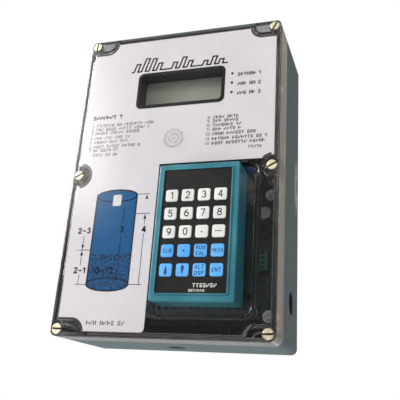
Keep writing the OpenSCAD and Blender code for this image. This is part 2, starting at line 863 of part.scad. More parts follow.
module handset_front() {
    color([0.2, 0.46, 0.53]) stand() in_pocket() difference() {
        union() {
            difference() {
                eased_block(handset_w, handset_h, handset_r, parting_up, handset_d, 0, handset_edge_r);
                level(parting_up - past, plate_z) handset_outline(handset_wall);
            }
            translate([panel_x, panel_y]) level(plate_z, handset_d + bead_h)
                rounded(panel_w + 2 * bead_w, panel_h + 2 * bead_w, 1 + bead_w);
            at_each(boss_places) translate([0, 0, parting_up])
                cylinder(h = plate_z - parting_up + ledge_t / 2, r = boss_r);
            at_each(post_places) translate([0, 0, pad_z])
                cylinder(h = plate_z - pad_z + ledge_t / 2, r = post_r);
        }
        translate([panel_x, panel_y]) level(panel_z, handset_d + bead_h + past)
            rounded(panel_w + 2 * panel_play, panel_h + 2 * panel_play, 1 + panel_play);
        translate([keys_x, keys_y]) level(plate_z - past, handset_d)
            rounded(3 * key_pitch_x + key_foot_w + 0.6, 4 * key_pitch_y + key_foot_h + 0.6, 1);
        level(parting_up - past, parting_up + lap_h + shim) handset_outline(handset_wall / 2);
        at_each(boss_places) translate([0, 0, parting_up - past])
            cylinder(h = 10 + past, r = case_pilot_r);
    }
}

module handset_back() {
    color([0.16, 0.38, 0.44]) stand() in_pocket() difference() {
        union() {
            difference() {
                eased_block(handset_w, handset_h, handset_r, 0, parting_up, 1, 0);
                level(handset_wall, parting_up + past) handset_outline(handset_wall);
            }
            level(parting_up - past, parting_up + lap_h) difference() {
                handset_outline(handset_wall / 2 + 0.1);
                handset_outline(handset_wall);
            }
            at_each(boss_places) cylinder(h = parting_up, r = boss_r);
            at_each(post_places) cylinder(h = pad_z - pad_board_t, r = post_r);
        }
        at_each(boss_places) {
            translate([0, 0, -past]) cylinder(h = parting_up + 2 * past, r = case_bore_r);
            translate([0, 0, -past]) cylinder(h = case_sink + past, r = case_head_r + shim);
        }
        translate([0, battery_y]) {
            level(-past, handset_wall + past) rounded(door_w, door_l, 1);
            level(-past, door_t) rounded(door_w + 2 * door_step, door_l + 2 * door_step, 1.5);
        }
        translate([0, beam_y, -past]) cylinder(h = handset_wall + 2 * past, d = beam_dia + 0.3);
    }
}

module keypad_panel() {
    color([0.2, 0.2, 0.19]) stand() in_pocket() level(panel_z, handset_d) difference() {
        translate([panel_x, panel_y]) rounded(panel_w, panel_h, 1);
        for (column = [0 : columns - 1], row = [0 : rows - 1]) {
            at_key(column, row)
                rounded(key_w + 2 * key_play, key_h + 2 * key_play, key_r + key_play);
        }
    }
}

// Middle of a key, counted from the left and from the top
module at_key(column, row) {
    translate([keys_x + (column - (columns - 1) / 2) * key_pitch_x,
        keys_y + ((rows - 1) / 2 - row) * key_pitch_y]) children();
}

// White keys in the upper three rows, blue ones below
module key(column, row) {
    top_z = handset_d + key_proud;
    tint = row < 3 ? [0.94, 0.94, 0.92] : [0.37, 0.68, 0.96];
    color(tint) stand() in_pocket() at_key(column, row) {
        eased_block(key_w, key_h, key_r, key_foot_z + key_foot_t / 2, top_z, 0, 0.25);
        level(key_foot_z, key_foot_z + key_foot_t) rounded(key_foot_w, key_foot_h, key_r);
        translate([0, 0, key_foot_z - stem_l]) cylinder(h = stem_l + key_foot_t / 2, r = stem_r);
    }
}

module contact_domes() {
    color([0.8, 0.8, 0.78]) stand() in_pocket()
        for (column = [0 : columns - 1], row = [0 : rows - 1]) {
            at_key(column, row) translate([0, 0, pad_z]) cylinder(h = dome_h, r1 = dome_r, r2 = 3);
        }
}

module handset_board() {
    color([0.12, 0.36, 0.2]) stand() in_pocket()
        level(pad_z - pad_board_t, pad_z) rounded(pad_board_w, pad_board_h, 1);
}

module handset_battery() {
    color([0.3, 0.3, 0.32]) stand() in_pocket() translate([0, battery_y, 0]) {
        eased_block(battery_w, battery_l, 2, handset_wall + shim, handset_wall + shim + battery_d, 0.6, 0.6);
        for (x = [-6.3, 6.3]) {
            translate([x, battery_l / 2 - past, handset_wall + shim + battery_d / 2])
                rotate([-90, 0, 0]) cylinder(h = 2.6 + past, r = x < 0 ? 2.8 : 3.6);
        }
    }
}

module battery_door() {
    color([0.16, 0.38, 0.44]) stand() in_pocket() translate([0, battery_y]) {
        level(0.05, door_t - 0.05)
            rounded(door_w + 2 * door_step - 2 * shim, door_l + 2 * door_step - 2 * shim, 1.3);
        level(door_t / 2, handset_wall) rounded(door_w - 2 * shim, door_l - 2 * shim, 0.8);
    }
}

module infrared_lamp() {
    lead_x = 1.27;
    body_l = 8;
    color([0.25, 0.2, 0.35]) stand() in_pocket() translate([0, beam_y, 0]) {
        translate([0, 0, beam_dia / 2]) sphere(d = beam_dia);
        translate([0, 0, beam_dia / 2]) cylinder(h = body_l - beam_dia / 2, d = beam_dia);
        translate([0, 0, body_l - 1]) cylinder(h = 1, d = beam_dia + 0.8);
        for (x = [-lead_x, lead_x]) {
            translate([x, 0, body_l - past])
                cylinder(h = pad_z - pad_board_t - body_l + past, r = 0.35);
        }
    }
}

module magnet_strips() {
    color([0.3, 0.3, 0.3]) stand() in_pocket() for (y = [-1, 1]) {
        translate([0, y * magnet_y]) level(handset_wall, handset_wall + magnet_t)
            rounded(magnet_w, magnet_h, 1);
    }
}

module handset_screws() {
    color([0.7, 0.7, 0.68]) stand() in_pocket() at_each(boss_places) difference() {
        union() {
            translate([0, 0, case_sink - case_head_h]) cylinder(h = case_head_h, r = case_head_r);
            translate([0, 0, case_sink]) cylinder(h = case_screw_l, r = case_screw_r);
        }
        for (turn = [0, 90]) {
            rotate([0, 0, turn]) translate([0, 0, case_sink - case_head_h])
                cube([3.4, 0.8, 2.2], center = true);
        }
    }
}

back_box();
lid();
lid_gasket();
lid_screws();
screw_inserts();
front_overlay();
display_hood();
lcd_frame();
lcd_glass();
display_board();
display_standoffs();
alarm_lamps();
lamp_spacers();
main_board();
board_screws();
terminal_strip();
terminal_screws();
terminal_header();
transformer_core();
transformer_coil();
relays();
fuse_holder();
fuse();
capacitors();
chips();
trimmer();
film_capacitor();
infrared_receiver();
board_link();
keeper_plates();
handset_front();
handset_back();
keypad_panel();
contact_domes();
handset_board();
handset_battery();
battery_door();
infrared_lamp();
magnet_strips();
handset_screws();
key(0, 0);  // key_1
key(1, 0);  // key_2
key(2, 0);  // key_3
key(3, 0);  // key_4
key(0, 1);  // key_5
key(1, 1);  // key_6
key(2, 1);  // key_7
key(3, 1);  // key_8
key(0, 2);  // key_9
key(1, 2);  // key_0
key(2, 2);  // key_point
key(3, 2);  // key_dash
key(0, 3);  // key_clear
key(1, 3);  // key_select
key(2, 3);  // key_run_cal
key(3, 3);  // key_measure
key(0, 4);  // key_up
key(1, 4);  // key_down
key(2, 4);  // key_alt
key(3, 4);  // key_enter
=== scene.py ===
# %% [markdown]
# # An ultrasonic level controller behind a clear lid
#
# The controller is a deep plastic box on a wall. A clear lid shows its printed front panel, a dark
# display and, in a pocket of the lid, a teal handset with twenty keys. The solids come from the CAD
# frame and stay where they are. This lesson gives each of them a finish, adds the print, and makes
# the keys, the lid's screws and the small marks as new meshes around that frame.

import bpy
import numpy as np
from mathutils import Matrix, Vector


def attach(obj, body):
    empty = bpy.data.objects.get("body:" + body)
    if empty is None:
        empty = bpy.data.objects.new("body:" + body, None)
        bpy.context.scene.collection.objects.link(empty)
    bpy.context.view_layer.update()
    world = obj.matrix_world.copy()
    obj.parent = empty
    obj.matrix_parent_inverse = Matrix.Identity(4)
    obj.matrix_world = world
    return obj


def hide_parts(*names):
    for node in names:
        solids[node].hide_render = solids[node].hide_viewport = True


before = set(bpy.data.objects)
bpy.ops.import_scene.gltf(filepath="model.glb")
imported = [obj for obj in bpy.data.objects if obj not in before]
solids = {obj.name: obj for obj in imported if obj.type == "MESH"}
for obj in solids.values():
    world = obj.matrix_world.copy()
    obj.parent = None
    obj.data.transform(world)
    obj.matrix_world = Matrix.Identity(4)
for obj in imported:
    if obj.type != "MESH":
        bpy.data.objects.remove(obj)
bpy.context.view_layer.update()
MM = 0.001


# %% [markdown]
# ## The camera
#
# The photograph was taken from low on the right, close enough for strong perspective. The place, the
# three directions and the focal length below were found by fitting a pinhole camera to points along
# eight edges of the box. The fit puts the view's centre above the middle of the picture, as in a crop
# of a wider one, so the lens is shifted, because turning the camera would bend the perspective.

# %% The camera
CAMERA_PLACE = (0.20688, -0.61333, -0.21181)
IMAGE_RIGHT = (0.95161, 0.30071, 0.06329)
IMAGE_UP = (0.05706, -0.37527, 0.92516)
VIEW_BACK = (0.30196, -0.87678, -0.37427)
PICTURE_SIDE = 400
FOCAL_PIXELS = 617.03
VIEW_CENTRE = (202.57, 162.93)


def add_camera():
    """A camera whose axes are the image's right, its up and the way back to the photographer."""
    data = bpy.data.cameras.new("camera")
    data.lens = data.sensor_width * FOCAL_PIXELS / PICTURE_SIDE
    data.shift_x = 0.5 - VIEW_CENTRE[0] / PICTURE_SIDE
    data.shift_y = VIEW_CENTRE[1] / PICTURE_SIDE - 0.5
    camera = bpy.data.objects.new("camera", data)
    bpy.context.scene.collection.objects.link(camera)
    turned = Matrix((IMAGE_RIGHT, IMAGE_UP, VIEW_BACK)).transposed().to_4x4()
    camera.matrix_world = Matrix.Translation(CAMERA_PLACE) @ turned
    bpy.context.scene.camera = camera
    return camera


camera = add_camera()
print("camera: lens", round(camera.data.lens, 2), "mm, shift", round(camera.data.shift_y, 4))

# %% [markdown]
# ## Building shaders in a few words
#
# Every finish below is a small tree of shader nodes. These helpers add a node, link or set its
# inputs, and give back the socket that the next node needs, so that a finish reads as a list of
# steps. Colours are written as the numbers from 0 to 255 that a picture would show.


# %% Helpers for shader trees
def shade(red, green, blue):
    """A colour given as picture values, turned into the linear colour that shaders work in."""
    values = np.array([red, green, blue]) / 255
    linear = np.where(values <= 0.04045, values / 12.92, ((values + 0.055) / 1.055) ** 2.4)
    return (*linear.tolist(), 1.0)


def add(tree, kind, inputs=None, **settings):
    """One shader node: its settings, then its inputs, each a socket to link or a value."""
    made = tree.nodes.new(kind)
    for name, value in settings.items():
        setattr(made, name, value)
    for key, value in (inputs or {}).items():
        if isinstance(value, bpy.types.NodeSocket):
            tree.links.new(value, made.inputs[key])
        else:
            made.inputs[key].default_value = value
    return made


def work_out(tree, operation, *values, clamp=False):
    """The result of one sum on one to three values."""
    made = add(tree, "ShaderNodeMath", dict(enumerate(values)), operation=operation, use_clamp=clamp)
    return made.outputs[0]


def blend_colour(tree, share, low, high):
    """A colour that goes from low to high as share goes from 0 to 1."""
    made = add(tree, "ShaderNodeMix", {0: share, 6: low, 7: high}, data_type="RGBA")
    return made.outputs[2]


def between(tree, value, low, high, to_low=0.0, to_high=1.0):
    """A value mapped smoothly from low..high to to_low..to_high."""
    inputs = {"Value": value, "From Min": low, "From Max": high, "To Min": to_low, "To Max": to_high}
    return add(tree, "ShaderNodeMapRange", inputs, interpolation_type="SMOOTHSTEP").outputs[0]


def object_place(tree):
    """The point on the piece, in metres in the object's own frame."""
    return add(tree, "ShaderNodeTexCoord").outputs["Object"]


def noise(tree, size, detail=2.0, roughness=0.5, place=None):
    """Soft noise with patches of a given size in metres."""
    inputs = {"Vector": place or object_place(tree), "Scale": 1 / size, "Detail": detail,
              "Roughness": roughness}
    return add(tree, "ShaderNodeTexNoise", inputs).outputs[0]


print("helpers ready, white is", shade(255, 255, 255))

# %% [markdown]
# ## The studio
#
# The object hangs on a wall, so the pale floor lies well below it. One big soft lamp stands up and
# to the left of the photographer, a weaker one to the right, and the world fills the shadows. Rays
# from the camera find pure white. Behind the object, rays that left glass find white too, and rays
# that left gloss find grey. In front of it both find a dim room with one bright window at the upper
# left. Rays that only carry light find a soft grey that falls off to the right. So the background is
# white and the object isn't washed out.

# %% The studio
FLOOR_HEIGHT, FLOOR_REACH = -0.456, 4.0
FILL_LIGHT, DARK_SIDE, FILL_FALLS = 0.68, 0.15, (-0.3, 0.7)
ROOM_LIGHT, WINDOW_LIGHT = 0.12, 6.0
WINDOW_ACROSS, WINDOW_UP = (-0.56, -0.40), (0.22, 0.40)
BACK_GLOSS, BACKDROP_FADE = 0.42, (-0.2, 0.3)
WHITE, WARM_WHITE, WARM_FADE = shade(255, 255, 255), shade(255, 240, 226), (-0.1, 0.3)


def studio_world():
    """White to the camera, a backdrop and a dim room with a window to glass and gloss, and a soft grey
    where it only lights."""
    world = bpy.data.worlds.new("studio")
    world.use_nodes = True
    tree = world.node_tree
    tree.nodes.clear()
    rays = add(tree, "ShaderNodeLightPath").outputs
    going = add(tree, "ShaderNodeSeparateXYZ", {0: add(tree, "ShaderNodeTexCoord").outputs["Generated"]})
    backdrop = between(tree, going.outputs["Y"], *BACKDROP_FADE)
    bent = work_out(tree, "MAXIMUM", rays["Is Glossy Ray"], rays["Is Transmission Ray"])
    fill = between(tree, going.outputs["X"], *FILL_FALLS, FILL_LIGHT, FILL_LIGHT * DARK_SIDE)
    leftward = between(tree, going.outputs["X"], *WINDOW_ACROSS, 1.0, 0.0)
    window = work_out(tree, "MULTIPLY", leftward, between(tree, going.outputs["Z"], *WINDOW_UP))
    room = work_out(tree, "MULTIPLY_ADD", window, WINDOW_LIGHT, ROOM_LIGHT)
    behind = work_out(tree, "MULTIPLY_ADD", rays["Is Glossy Ray"], BACK_GLOSS - 1, 1.0)
    mirrored = add(tree, "ShaderNodeMix", {0: backdrop, 2: room, 3: behind}).outputs[0]
    strength = add(tree, "ShaderNodeMix", {0: bent, 2: fill, 3: mirrored}).outputs[0]
    strength = add(tree, "ShaderNodeMix", {0: rays["Is Camera Ray"], 2: strength, 3: 1.0}).outputs[0]
    warm = work_out(tree, "MULTIPLY", rays["Is Glossy Ray"], between(tree, going.outputs["X"], *WARM_FADE))
    tint = blend_colour(tree, warm, WHITE, WARM_WHITE)
    lit = add(tree, "ShaderNodeBackground", {"Color": tint, "Strength": strength})
    add(tree, "ShaderNodeOutputWorld", {"Surface": lit.outputs[0]})
    bpy.context.scene.world = world


def soft_lamp(name, place, target, side, power):
    """A square lamp at a place, turned to face a target."""
    data = bpy.data.lights.new(name, "AREA")
    data.size = side
    data.energy = power
    lamp = bpy.data.objects.new(name, data)
    lamp.location = place
    lamp.rotation_euler = (Vector(target) - Vector(place)).to_track_quat("-Z", "Y").to_euler()
    bpy.context.scene.collection.objects.link(lamp)


def add_floor():
    """A wide pale sheet under the object, with a faint mottle."""
    mesh = bpy.data.meshes.new("floor")
    corner_signs = [(-1, -1), (1, -1), (1, 1), (-1, 1)]
    places = [(x * FLOOR_REACH, y * FLOOR_REACH, FLOOR_HEIGHT) for x, y in corner_signs]
    mesh.from_pydata(places, [], [(0, 1, 2, 3)])
    floor = bpy.data.objects.new("floor", mesh)
    bpy.context.scene.collection.objects.link(floor)
    material = bpy.data.materials.new("pale floor")
    material.use_nodes = True
    tree = material.node_tree
    surface = tree.nodes["Principled BSDF"]
    tone = blend_colour(tree, noise(tree, 0.4), shade(228, 228, 228), shade(236, 236, 236))
    tree.links.new(tone, surface.inputs["Base Color"])
    surface.inputs["Roughness"].default_value = 0.9
    mesh.materials.append(material)


studio_world()
add_floor()
soft_lamp("key lamp", place=(-1.75, -1.1, 0.75), target=(0, -0.05, 0), side=1.0, power=37)
soft_lamp("fill lamp", place=(0.45, -1.4, 0.8), target=(0, -0.1, 0), side=0.6, power=5.5)
bpy.context.scene.view_settings.view_transform = "Standard"
print("studio: floor at", FLOOR_HEIGHT, "m, fill", FILL_LIGHT)

# %% [markdown]
# ## Effects that many finishes share
#
# Moulded plastic is never one flat colour. It has a fine grain from the mould, slow cloudy changes of
# tone, edges that handling has polished or bared, dust that settles on what faces up, and hairline
# scratches. Each effect is a node group, made once, with sizes and strengths as its inputs, so that
# a finish only says how much of each it has.


# %% A helper for shader groups
def start_group(name, inputs, outputs):
    """A new shader group, with its numbers in and its masks, values or normals out."""
    tree = bpy.data.node_groups.new(name, "ShaderNodeTree")
    for label, value in inputs.items():
        socket = tree.interface.new_socket(label, in_out="INPUT", socket_type="NodeSocketFloat")
        socket.default_value = value
    for label, kind in outputs.items():
        tree.interface.new_socket(label, in_out="OUTPUT", socket_type=kind)
    return tree, add(tree, "NodeGroupInput").outputs, add(tree, "NodeGroupOutput")


def finish_group(tree, end, results):
    """Links each named result to the group's end."""
    for label, socket in results.items():
        tree.links.new(socket, end.inputs[label])
    return tree


print("group helpers: start_group and finish_group")


# %% Grain and mottle of moulded plastic
def make_grain():
    """Fine bumps of one size, and a slow mottle of tone from 0 to 1."""
    tree, given, end = start_group(
        "moulded grain", {"Bump Size": 0.0004, "Mottle Size": 0.03},
        {"Height": "NodeSocketFloat", "Mottle": "NodeSocketFloat"})
    place = object_place(tree)
    fine = add(tree, "ShaderNodeTexNoise", {
        "Vector": place, "Scale": work_out(tree, "DIVIDE", 1.0, given["Bump Size"]), "Detail": 1.0})
    slow = add(tree, "ShaderNodeTexNoise", {
        "Vector": place, "Scale": work_out(tree, "DIVIDE", 1.0, given["Mottle Size"]), "Detail": 4.0})
    mottle = between(tree, slow.outputs[0], 0.3, 0.7)
    return finish_group(tree, end, {"Height": fine.outputs[0], "Mottle": mottle})


grain = make_grain()
print("group:", grain.name)


# %% [markdown]
# ### Edges
#
# No moulded or turned edge is sharp, and handling rubs it first. A Bevel node gives the normal of a
# rounded edge without new faces. Where that normal differs from the true one there is an edge, so the
# same node also says where the wear goes.


# %% Worn and rounded edges
def make_edges():
    """A normal that rounds the edges off, and a mask that is 1 where an edge is worn: the rounded
    normal is compared with the true one, and noise breaks the worn line up."""
    tree, given, end = start_group(
        "eased edges", {"Radius": 0.0005, "Wear": 1.0},
        {"Worn": "NodeSocketFloat", "Normal": "NodeSocketVector"})
    rounded = add(tree, "ShaderNodeBevel", {"Radius": given["Radius"]}, samples=4).outputs[0]
    flat = add(tree, "ShaderNodeNewGeometry").outputs["Normal"]
    same = add(tree, "ShaderNodeVectorMath", {0: rounded, 1: flat}, operation="DOT_PRODUCT")
    turn = work_out(tree, "SUBTRACT", 1.0, same.outputs["Value"])
    patchy = between(tree, noise(tree, 0.006, 5.0, 0.7), 0.42, 0.62)
    worn = work_out(tree, "MULTIPLY", between(tree, turn, 0.02, 0.2), patchy)
    worn = work_out(tree, "MULTIPLY", worn, given["Wear"], clamp=True)
    return finish_group(tree, end, {"Worn": worn, "Normal": rounded})


edges = make_edges()
print("group:", edges.name)


# %% [markdown]
# ### Dust and scratches
#
# Dust settles from above, so its mask follows the upward part of the normal. A hairline is the place
# where a stretched noise crosses its middle value, which gives long thin curves that never repeat.


# %% Dust and scratches
def make_dust():
    """A mask of settled dust: most on what faces up, in clouds, with single specks everywhere."""
    tree, given, end = start_group("settled dust", {"Amount": 0.2}, {"Dust": "NodeSocketFloat"})
    facing = add(tree, "ShaderNodeSeparateXYZ", {0: add(tree, "ShaderNodeNewGeometry").outputs["Normal"]})
    upward = between(tree, facing.outputs["Z"], 0.1, 0.95, 0.25, 1.0)
    clouds = between(tree, noise(tree, 0.02, 6.0, 0.65), 0.35, 0.75)
    specks = between(tree, noise(tree, 0.0009, 0.0), 0.74, 0.8, 0.0, 0.7)
    film = work_out(tree, "MULTIPLY", upward, clouds)
    dust = work_out(tree, "MULTIPLY", work_out(tree, "MAXIMUM", film, specks), given["Amount"], clamp=True)
    return finish_group(tree, end, {"Dust": dust})


def make_scratches():
    """A mask of hairlines: noise stretched along a line is cut where it crosses its middle value."""
    tree, given, end = start_group(
        "hairline scratches", {"Amount": 0.3, "Spread": 0.012}, {"Scratch": "NodeSocketFloat"})
    lines = None
    for turn in (0.4, -0.9):
        stretched = add(tree, "ShaderNodeMapping", {
            "Vector": object_place(tree), "Rotation": (0.0, turn, 0.3), "Scale": (1.0, 1.0, 0.06)})
        wavy = add(tree, "ShaderNodeTexNoise", {
            "Vector": stretched.outputs[0], "Scale": work_out(tree, "DIVIDE", 1.0, given["Spread"]),
            "Detail": 3.0})
        off_middle = work_out(tree, "ABSOLUTE", work_out(tree, "SUBTRACT", wavy.outputs[0], 0.5))
        line = between(tree, off_middle, 0.0, 0.006, 1.0, 0.0)
        lines = line if lines is None else work_out(tree, "MAXIMUM", lines, line)
    broken = between(tree, noise(tree, 0.018, 2.0), 0.5, 0.62)
    scratch = work_out(tree, "MULTIPLY", work_out(tree, "MULTIPLY", lines, broken), given["Amount"])
    return finish_group(tree, end, {"Scratch": scratch})


dust = make_dust()
scratches = make_scratches()
print("groups:", dust.name, "and", scratches.name)


# %% [markdown]
# ## One recipe for plastics, paint and rubber
#
# Most pieces here are moulded, so one function mixes the shared effects into a surface: the mottle
# moves the colour between two tones, wear bares a third one along the edges, dust lies on top, and
# the grain gives the fine bump. What differs from piece to piece is only numbers.


# %% Moulded finishes
WALL_HALVES, WALL_CORNER = (0.1045, 0.156), 0.009
DUST_TONE = shade(176, 172, 164)


def use_group(tree, group, inputs):
    """Places a shared effect in a material, with its own values."""
    made = tree.nodes.new("ShaderNodeGroup")
    made.node_tree = group
    for label, value in inputs.items():
        made.inputs[label].default_value = value
    return made.outputs


def start_material(name, roughness=0.5, metallic=0.0):
    """A new material, its tree and its surface shader."""
    material = bpy.data.materials.new(name)
    material.use_nodes = True
    surface = material.node_tree.nodes["Principled BSDF"]
    surface.inputs["Roughness"].default_value = roughness
    surface.inputs["Metallic"].default_value = metallic
    return material, material.node_tree, surface


def inside_walls(tree):
    """1 inside the box's outer walls, and 0 on them and on the back: the distance to a rounded rectangle,
    which is the length of what reaches past its corner's centre, less the corner's radius."""
    apart = add(tree, "ShaderNodeSeparateXYZ", {0: object_place(tree)}).outputs
    past = [work_out(tree, "SUBTRACT", work_out(tree, "ABSOLUTE", apart[axis]), half - WALL_CORNER)
            for axis, half in zip("XZ", WALL_HALVES)]
    outer = [work_out(tree, "MAXIMUM", value, 0.0) for value in past]
    reach = work_out(tree, "SQRT", work_out(tree, "MULTIPLY_ADD", outer[0], outer[0], work_out(
        tree, "MULTIPLY", outer[1], outer[1])))
    within = work_out(tree, "MINIMUM", work_out(tree, "MAXIMUM", *past), 0.0)
    depth = work_out(tree, "SUBTRACT", WALL_CORNER, work_out(tree, "ADD", reach, within))
    off_back = between(tree, apart["Y"], -0.002, -0.001, 1.0, 0.0)
    return work_out(tree, "MULTIPLY", between(tree, depth, 0.0006, 0.0014), off_back)


def moulded(name, dark, light, roughness=0.45, worn=None, dusty=0.2, bump=0.00002, bump_size=0.0005,
            mottle_size=0.03, edge=0.0005, wear=0.8, scratched=0.0, shine=0.5, inner=None):
    """Moulded plastic between two tones, with worn edges, dust, grain and a few scratches. An inner
    tone, if given, is painted shade: a dark tone laid over what lies inside the box's outer wall."""
    material, tree, surface = start_material(name, roughness)
    surface.inputs["Specular IOR Level"].default_value = shine
    moulding = use_group(tree, grain, {"Bump Size": bump_size, "Mottle Size": mottle_size})
    edging = use_group(tree, edges, {"Radius": edge, "Wear": wear})
    tone = blend_colour(tree, moulding["Mottle"], dark, light)
    tone = blend_colour(tree, edging["Worn"], tone, worn or light)
    settled = use_group(tree, dust, {"Amount": dusty})["Dust"]
    tone = blend_colour(tree, settled, tone, DUST_TONE)
    # Painted shade: the inside of the box is darkened towards the inner tone, as if the lid shaded it.
    if inner:
        tone = blend_colour(tree, inside_walls(tree), tone, inner)
    gloss = between(tree, moulding["Mottle"], 0.0, 1.0, roughness * 0.88, min(roughness * 1.15, 1.0))
    gloss = work_out(tree, "MULTIPLY_ADD", settled, 0.4, gloss, clamp=True)
    height = moulding["Height"]
    if scratched:
        lines = use_group(tree, scratches, {"Amount": scratched})["Scratch"]
        tone = blend_colour(tree, work_out(tree, "MULTIPLY", lines, 0.5), tone, worn or light)
        height = work_out(tree, "SUBTRACT", height, lines)
    bumped = add(tree, "ShaderNodeBump", {"Distance": bump, "Height": height, "Normal": edging["Normal"]})
    tree.links.new(tone, surface.inputs["Base Color"])
    tree.links.new(gloss, surface.inputs["Roughness"])
    tree.links.new(bumped.outputs[0], surface.inputs["Normal"])
    return material


finishes = {
    # The box plastic's dark inner tone is painted shade for the hollow behind the lid.
    "box_plastic": moulded("grey box plastic", shade(94, 112, 118), shade(113, 132, 138), 0.5,
                           shade(150, 160, 160), 0.16, 0.00004, 0.0009, edge=0.0008, wear=0.5,
                           scratched=0.4, shine=0.2, inner=shade(30, 33, 34)),
    "gasket_rubber": moulded("gasket rubber", shade(62, 59, 61), shade(78, 74, 76), 0.75, dusty=0.15),
    "black_plastic": moulded("black plastic", shade(24, 24, 24), shade(34, 34, 34), 0.5, dusty=0.1,
                             shine=0.3),
    "terminal_plastic": moulded("terminal plastic", shade(28, 29, 29), shade(40, 41, 40), 0.5),
    "header_green": moulded("green header plastic", shade(20, 72, 46), shade(30, 92, 58), 0.4),
    "coil_tape": moulded("coil tape", shade(196, 160, 60), shade(216, 184, 84), 0.5),
    "trimmer_blue": moulded("blue trimmer plastic", shade(36, 70, 160), shade(52, 92, 190), 0.35),
    "film_brown": moulded("red brown film capacitor", shade(122, 50, 34), shade(150, 66, 44), 0.3),
    "ribbon_grey": moulded("grey ribbon", shade(140, 142, 146), shade(164, 166, 170), 0.5),
    "teal_plastic": moulded("teal handset plastic", shade(40, 112, 127), shade(50, 126, 141), 0.34,
                            shade(96, 170, 186), 0.06, 0.00003, 0.0007, edge=0.0006, wear=0.35,
                            scratched=0.2),
    "keypad_black": moulded("black keypad print", shade(14, 12, 11), shade(20, 18, 17), 0.5, dusty=0.05,
                            shine=0.2),
    "key_white": moulded("white key plastic", shade(222, 222, 217), shade(234, 234, 229), 0.36,
                         shade(250, 250, 246), 0.05),
    "key_blue": moulded("blue key plastic", shade(82, 166, 238), shade(98, 182, 250), 0.36,
                        shade(150, 206, 252), 0.04),
    "battery_sleeve": moulded("battery sleeve", shade(40, 44, 52), shade(58, 62, 72), 0.35),
    "magnet": moulded("dark magnet strip", shade(44, 42, 42), shade(58, 56, 54), 0.6),
}
print("moulded finishes:", len(finishes))


# %% [markdown]
# ### Scuffs and the rim's painted shade
#
# The right wall has a rubbed pale patch, and a bluish smear lies near the side entry. Each is a soft
# spot round a point, broken by streaks. The front rim of the box is painted a dull purple grey of
# shade, where the lid's seal wall keeps the light from it.


# %% Scuffs on the box
RUBBED_MIDDLE, RUBBED_HALVES = (0.1045, -0.014, 0.010), (0.002, 0.012, 0.034)
SMEAR_MIDDLE, SMEAR_HALVES = (0.1045, -0.060, -0.108), (0.002, 0.006, 0.013)
RIM_FADE = (-0.069, -0.068)


def patch(tree, middle, halves):
    """A soft spot in the shape of an ellipsoid, broken into streaks that run up the wall."""
    offset = add(tree, "ShaderNodeVectorMath", {0: object_place(tree), 1: middle}, operation="SUBTRACT")
    scaled = add(tree, "ShaderNodeVectorMath", {0: offset.outputs[0], 1: halves}, operation="DIVIDE")
    length = add(tree, "ShaderNodeVectorMath", {0: scaled.outputs[0]}, operation="LENGTH").outputs["Value"]
    drawn = add(tree, "ShaderNodeMapping", {"Vector": object_place(tree), "Scale": (1.0, 1.0, 0.15)})
    streaks = between(tree, noise(tree, 0.004, 4.0, 0.7, drawn.outputs[0]), 0.4, 0.56)
    return work_out(tree, "MULTIPLY", between(tree, length, 0.55, 1.0, 1.0, 0.0), streaks)


def scuff_box(material):
    """The rubbed white patch on the right wall, and the blue smear beside the side entry."""
    tree = material.node_tree
    tone = tree.nodes["Principled BSDF"].inputs["Base Color"]
    rubbed = patch(tree, RUBBED_MIDDLE, RUBBED_HALVES)
    scuffed = blend_colour(tree, rubbed, tone.links[0].from_socket, shade(206, 214, 218))
    smeared = patch(tree, SMEAR_MIDDLE, SMEAR_HALVES)
    tree.links.new(blend_colour(tree, smeared, scuffed, shade(70, 110, 180)), tone)


def grey_rim(material):
    """Painted shade on the box's front rim: a dull purple grey where the lid's seal wall stands over it."""
    tree = material.node_tree
    tone = tree.nodes["Principled BSDF"].inputs["Base Color"]
    outward = add(tree, "ShaderNodeSeparateXYZ", {0: object_place(tree)}).outputs["Y"]
    front = between(tree, outward, *RIM_FADE, 1.0, 0.0)
    rim = work_out(tree, "MULTIPLY", front, inside_walls(tree))
    # Painted shade: the rim is blended towards a dull purple grey.
    tree.links.new(blend_colour(tree, rim, tone.links[0].from_socket, shade(96, 90, 92)), tone)


scuff_box(finishes["box_plastic"])
grey_rim(finishes["box_plastic"])
print("box scuffed")

# %% [markdown]
# ## Metals
#
# The screws are plated brass that has yellowed, the strips and small screws are zinc steel, and the
# transformer has a core of stacked iron sheets. A metal's look is its roughness, so patches of noise
# move that and darken the colour with it, as tarnish does, and hairlines scratch the surface.


# %% Metal finishes
def metal(name, bright, dull, roughness=0.3, tarnish_size=0.004, edge=0.0002, metallic=1.0):
    """A metal between a bright and a dull tone, rougher where it is dull. A coating that scatters
    light is less metallic."""
    material, tree, surface = start_material(name, roughness, metallic)
    edging = use_group(tree, edges, {"Radius": edge, "Wear": 1.0})
    patches = between(tree, noise(tree, tarnish_size, 5.0, 0.65), 0.4, 0.68)
    tone = blend_colour(tree, patches, bright, dull)
    tone = blend_colour(tree, edging["Worn"], tone, bright)
    gloss = work_out(tree, "MULTIPLY_ADD", patches, 0.22, roughness)
    lines = use_group(tree, scratches, {"Amount": 0.8, "Spread": 0.003})["Scratch"]
    bumped = add(tree, "ShaderNodeBump", {
        "Distance": 0.00002, "Height": work_out(tree, "MULTIPLY", lines, -1.0),
        "Normal": edging["Normal"]})
    tree.links.new(tone, surface.inputs["Base Color"])
    tree.links.new(gloss, surface.inputs["Roughness"])
    tree.links.new(bumped.outputs[0], surface.inputs["Normal"])
    return material


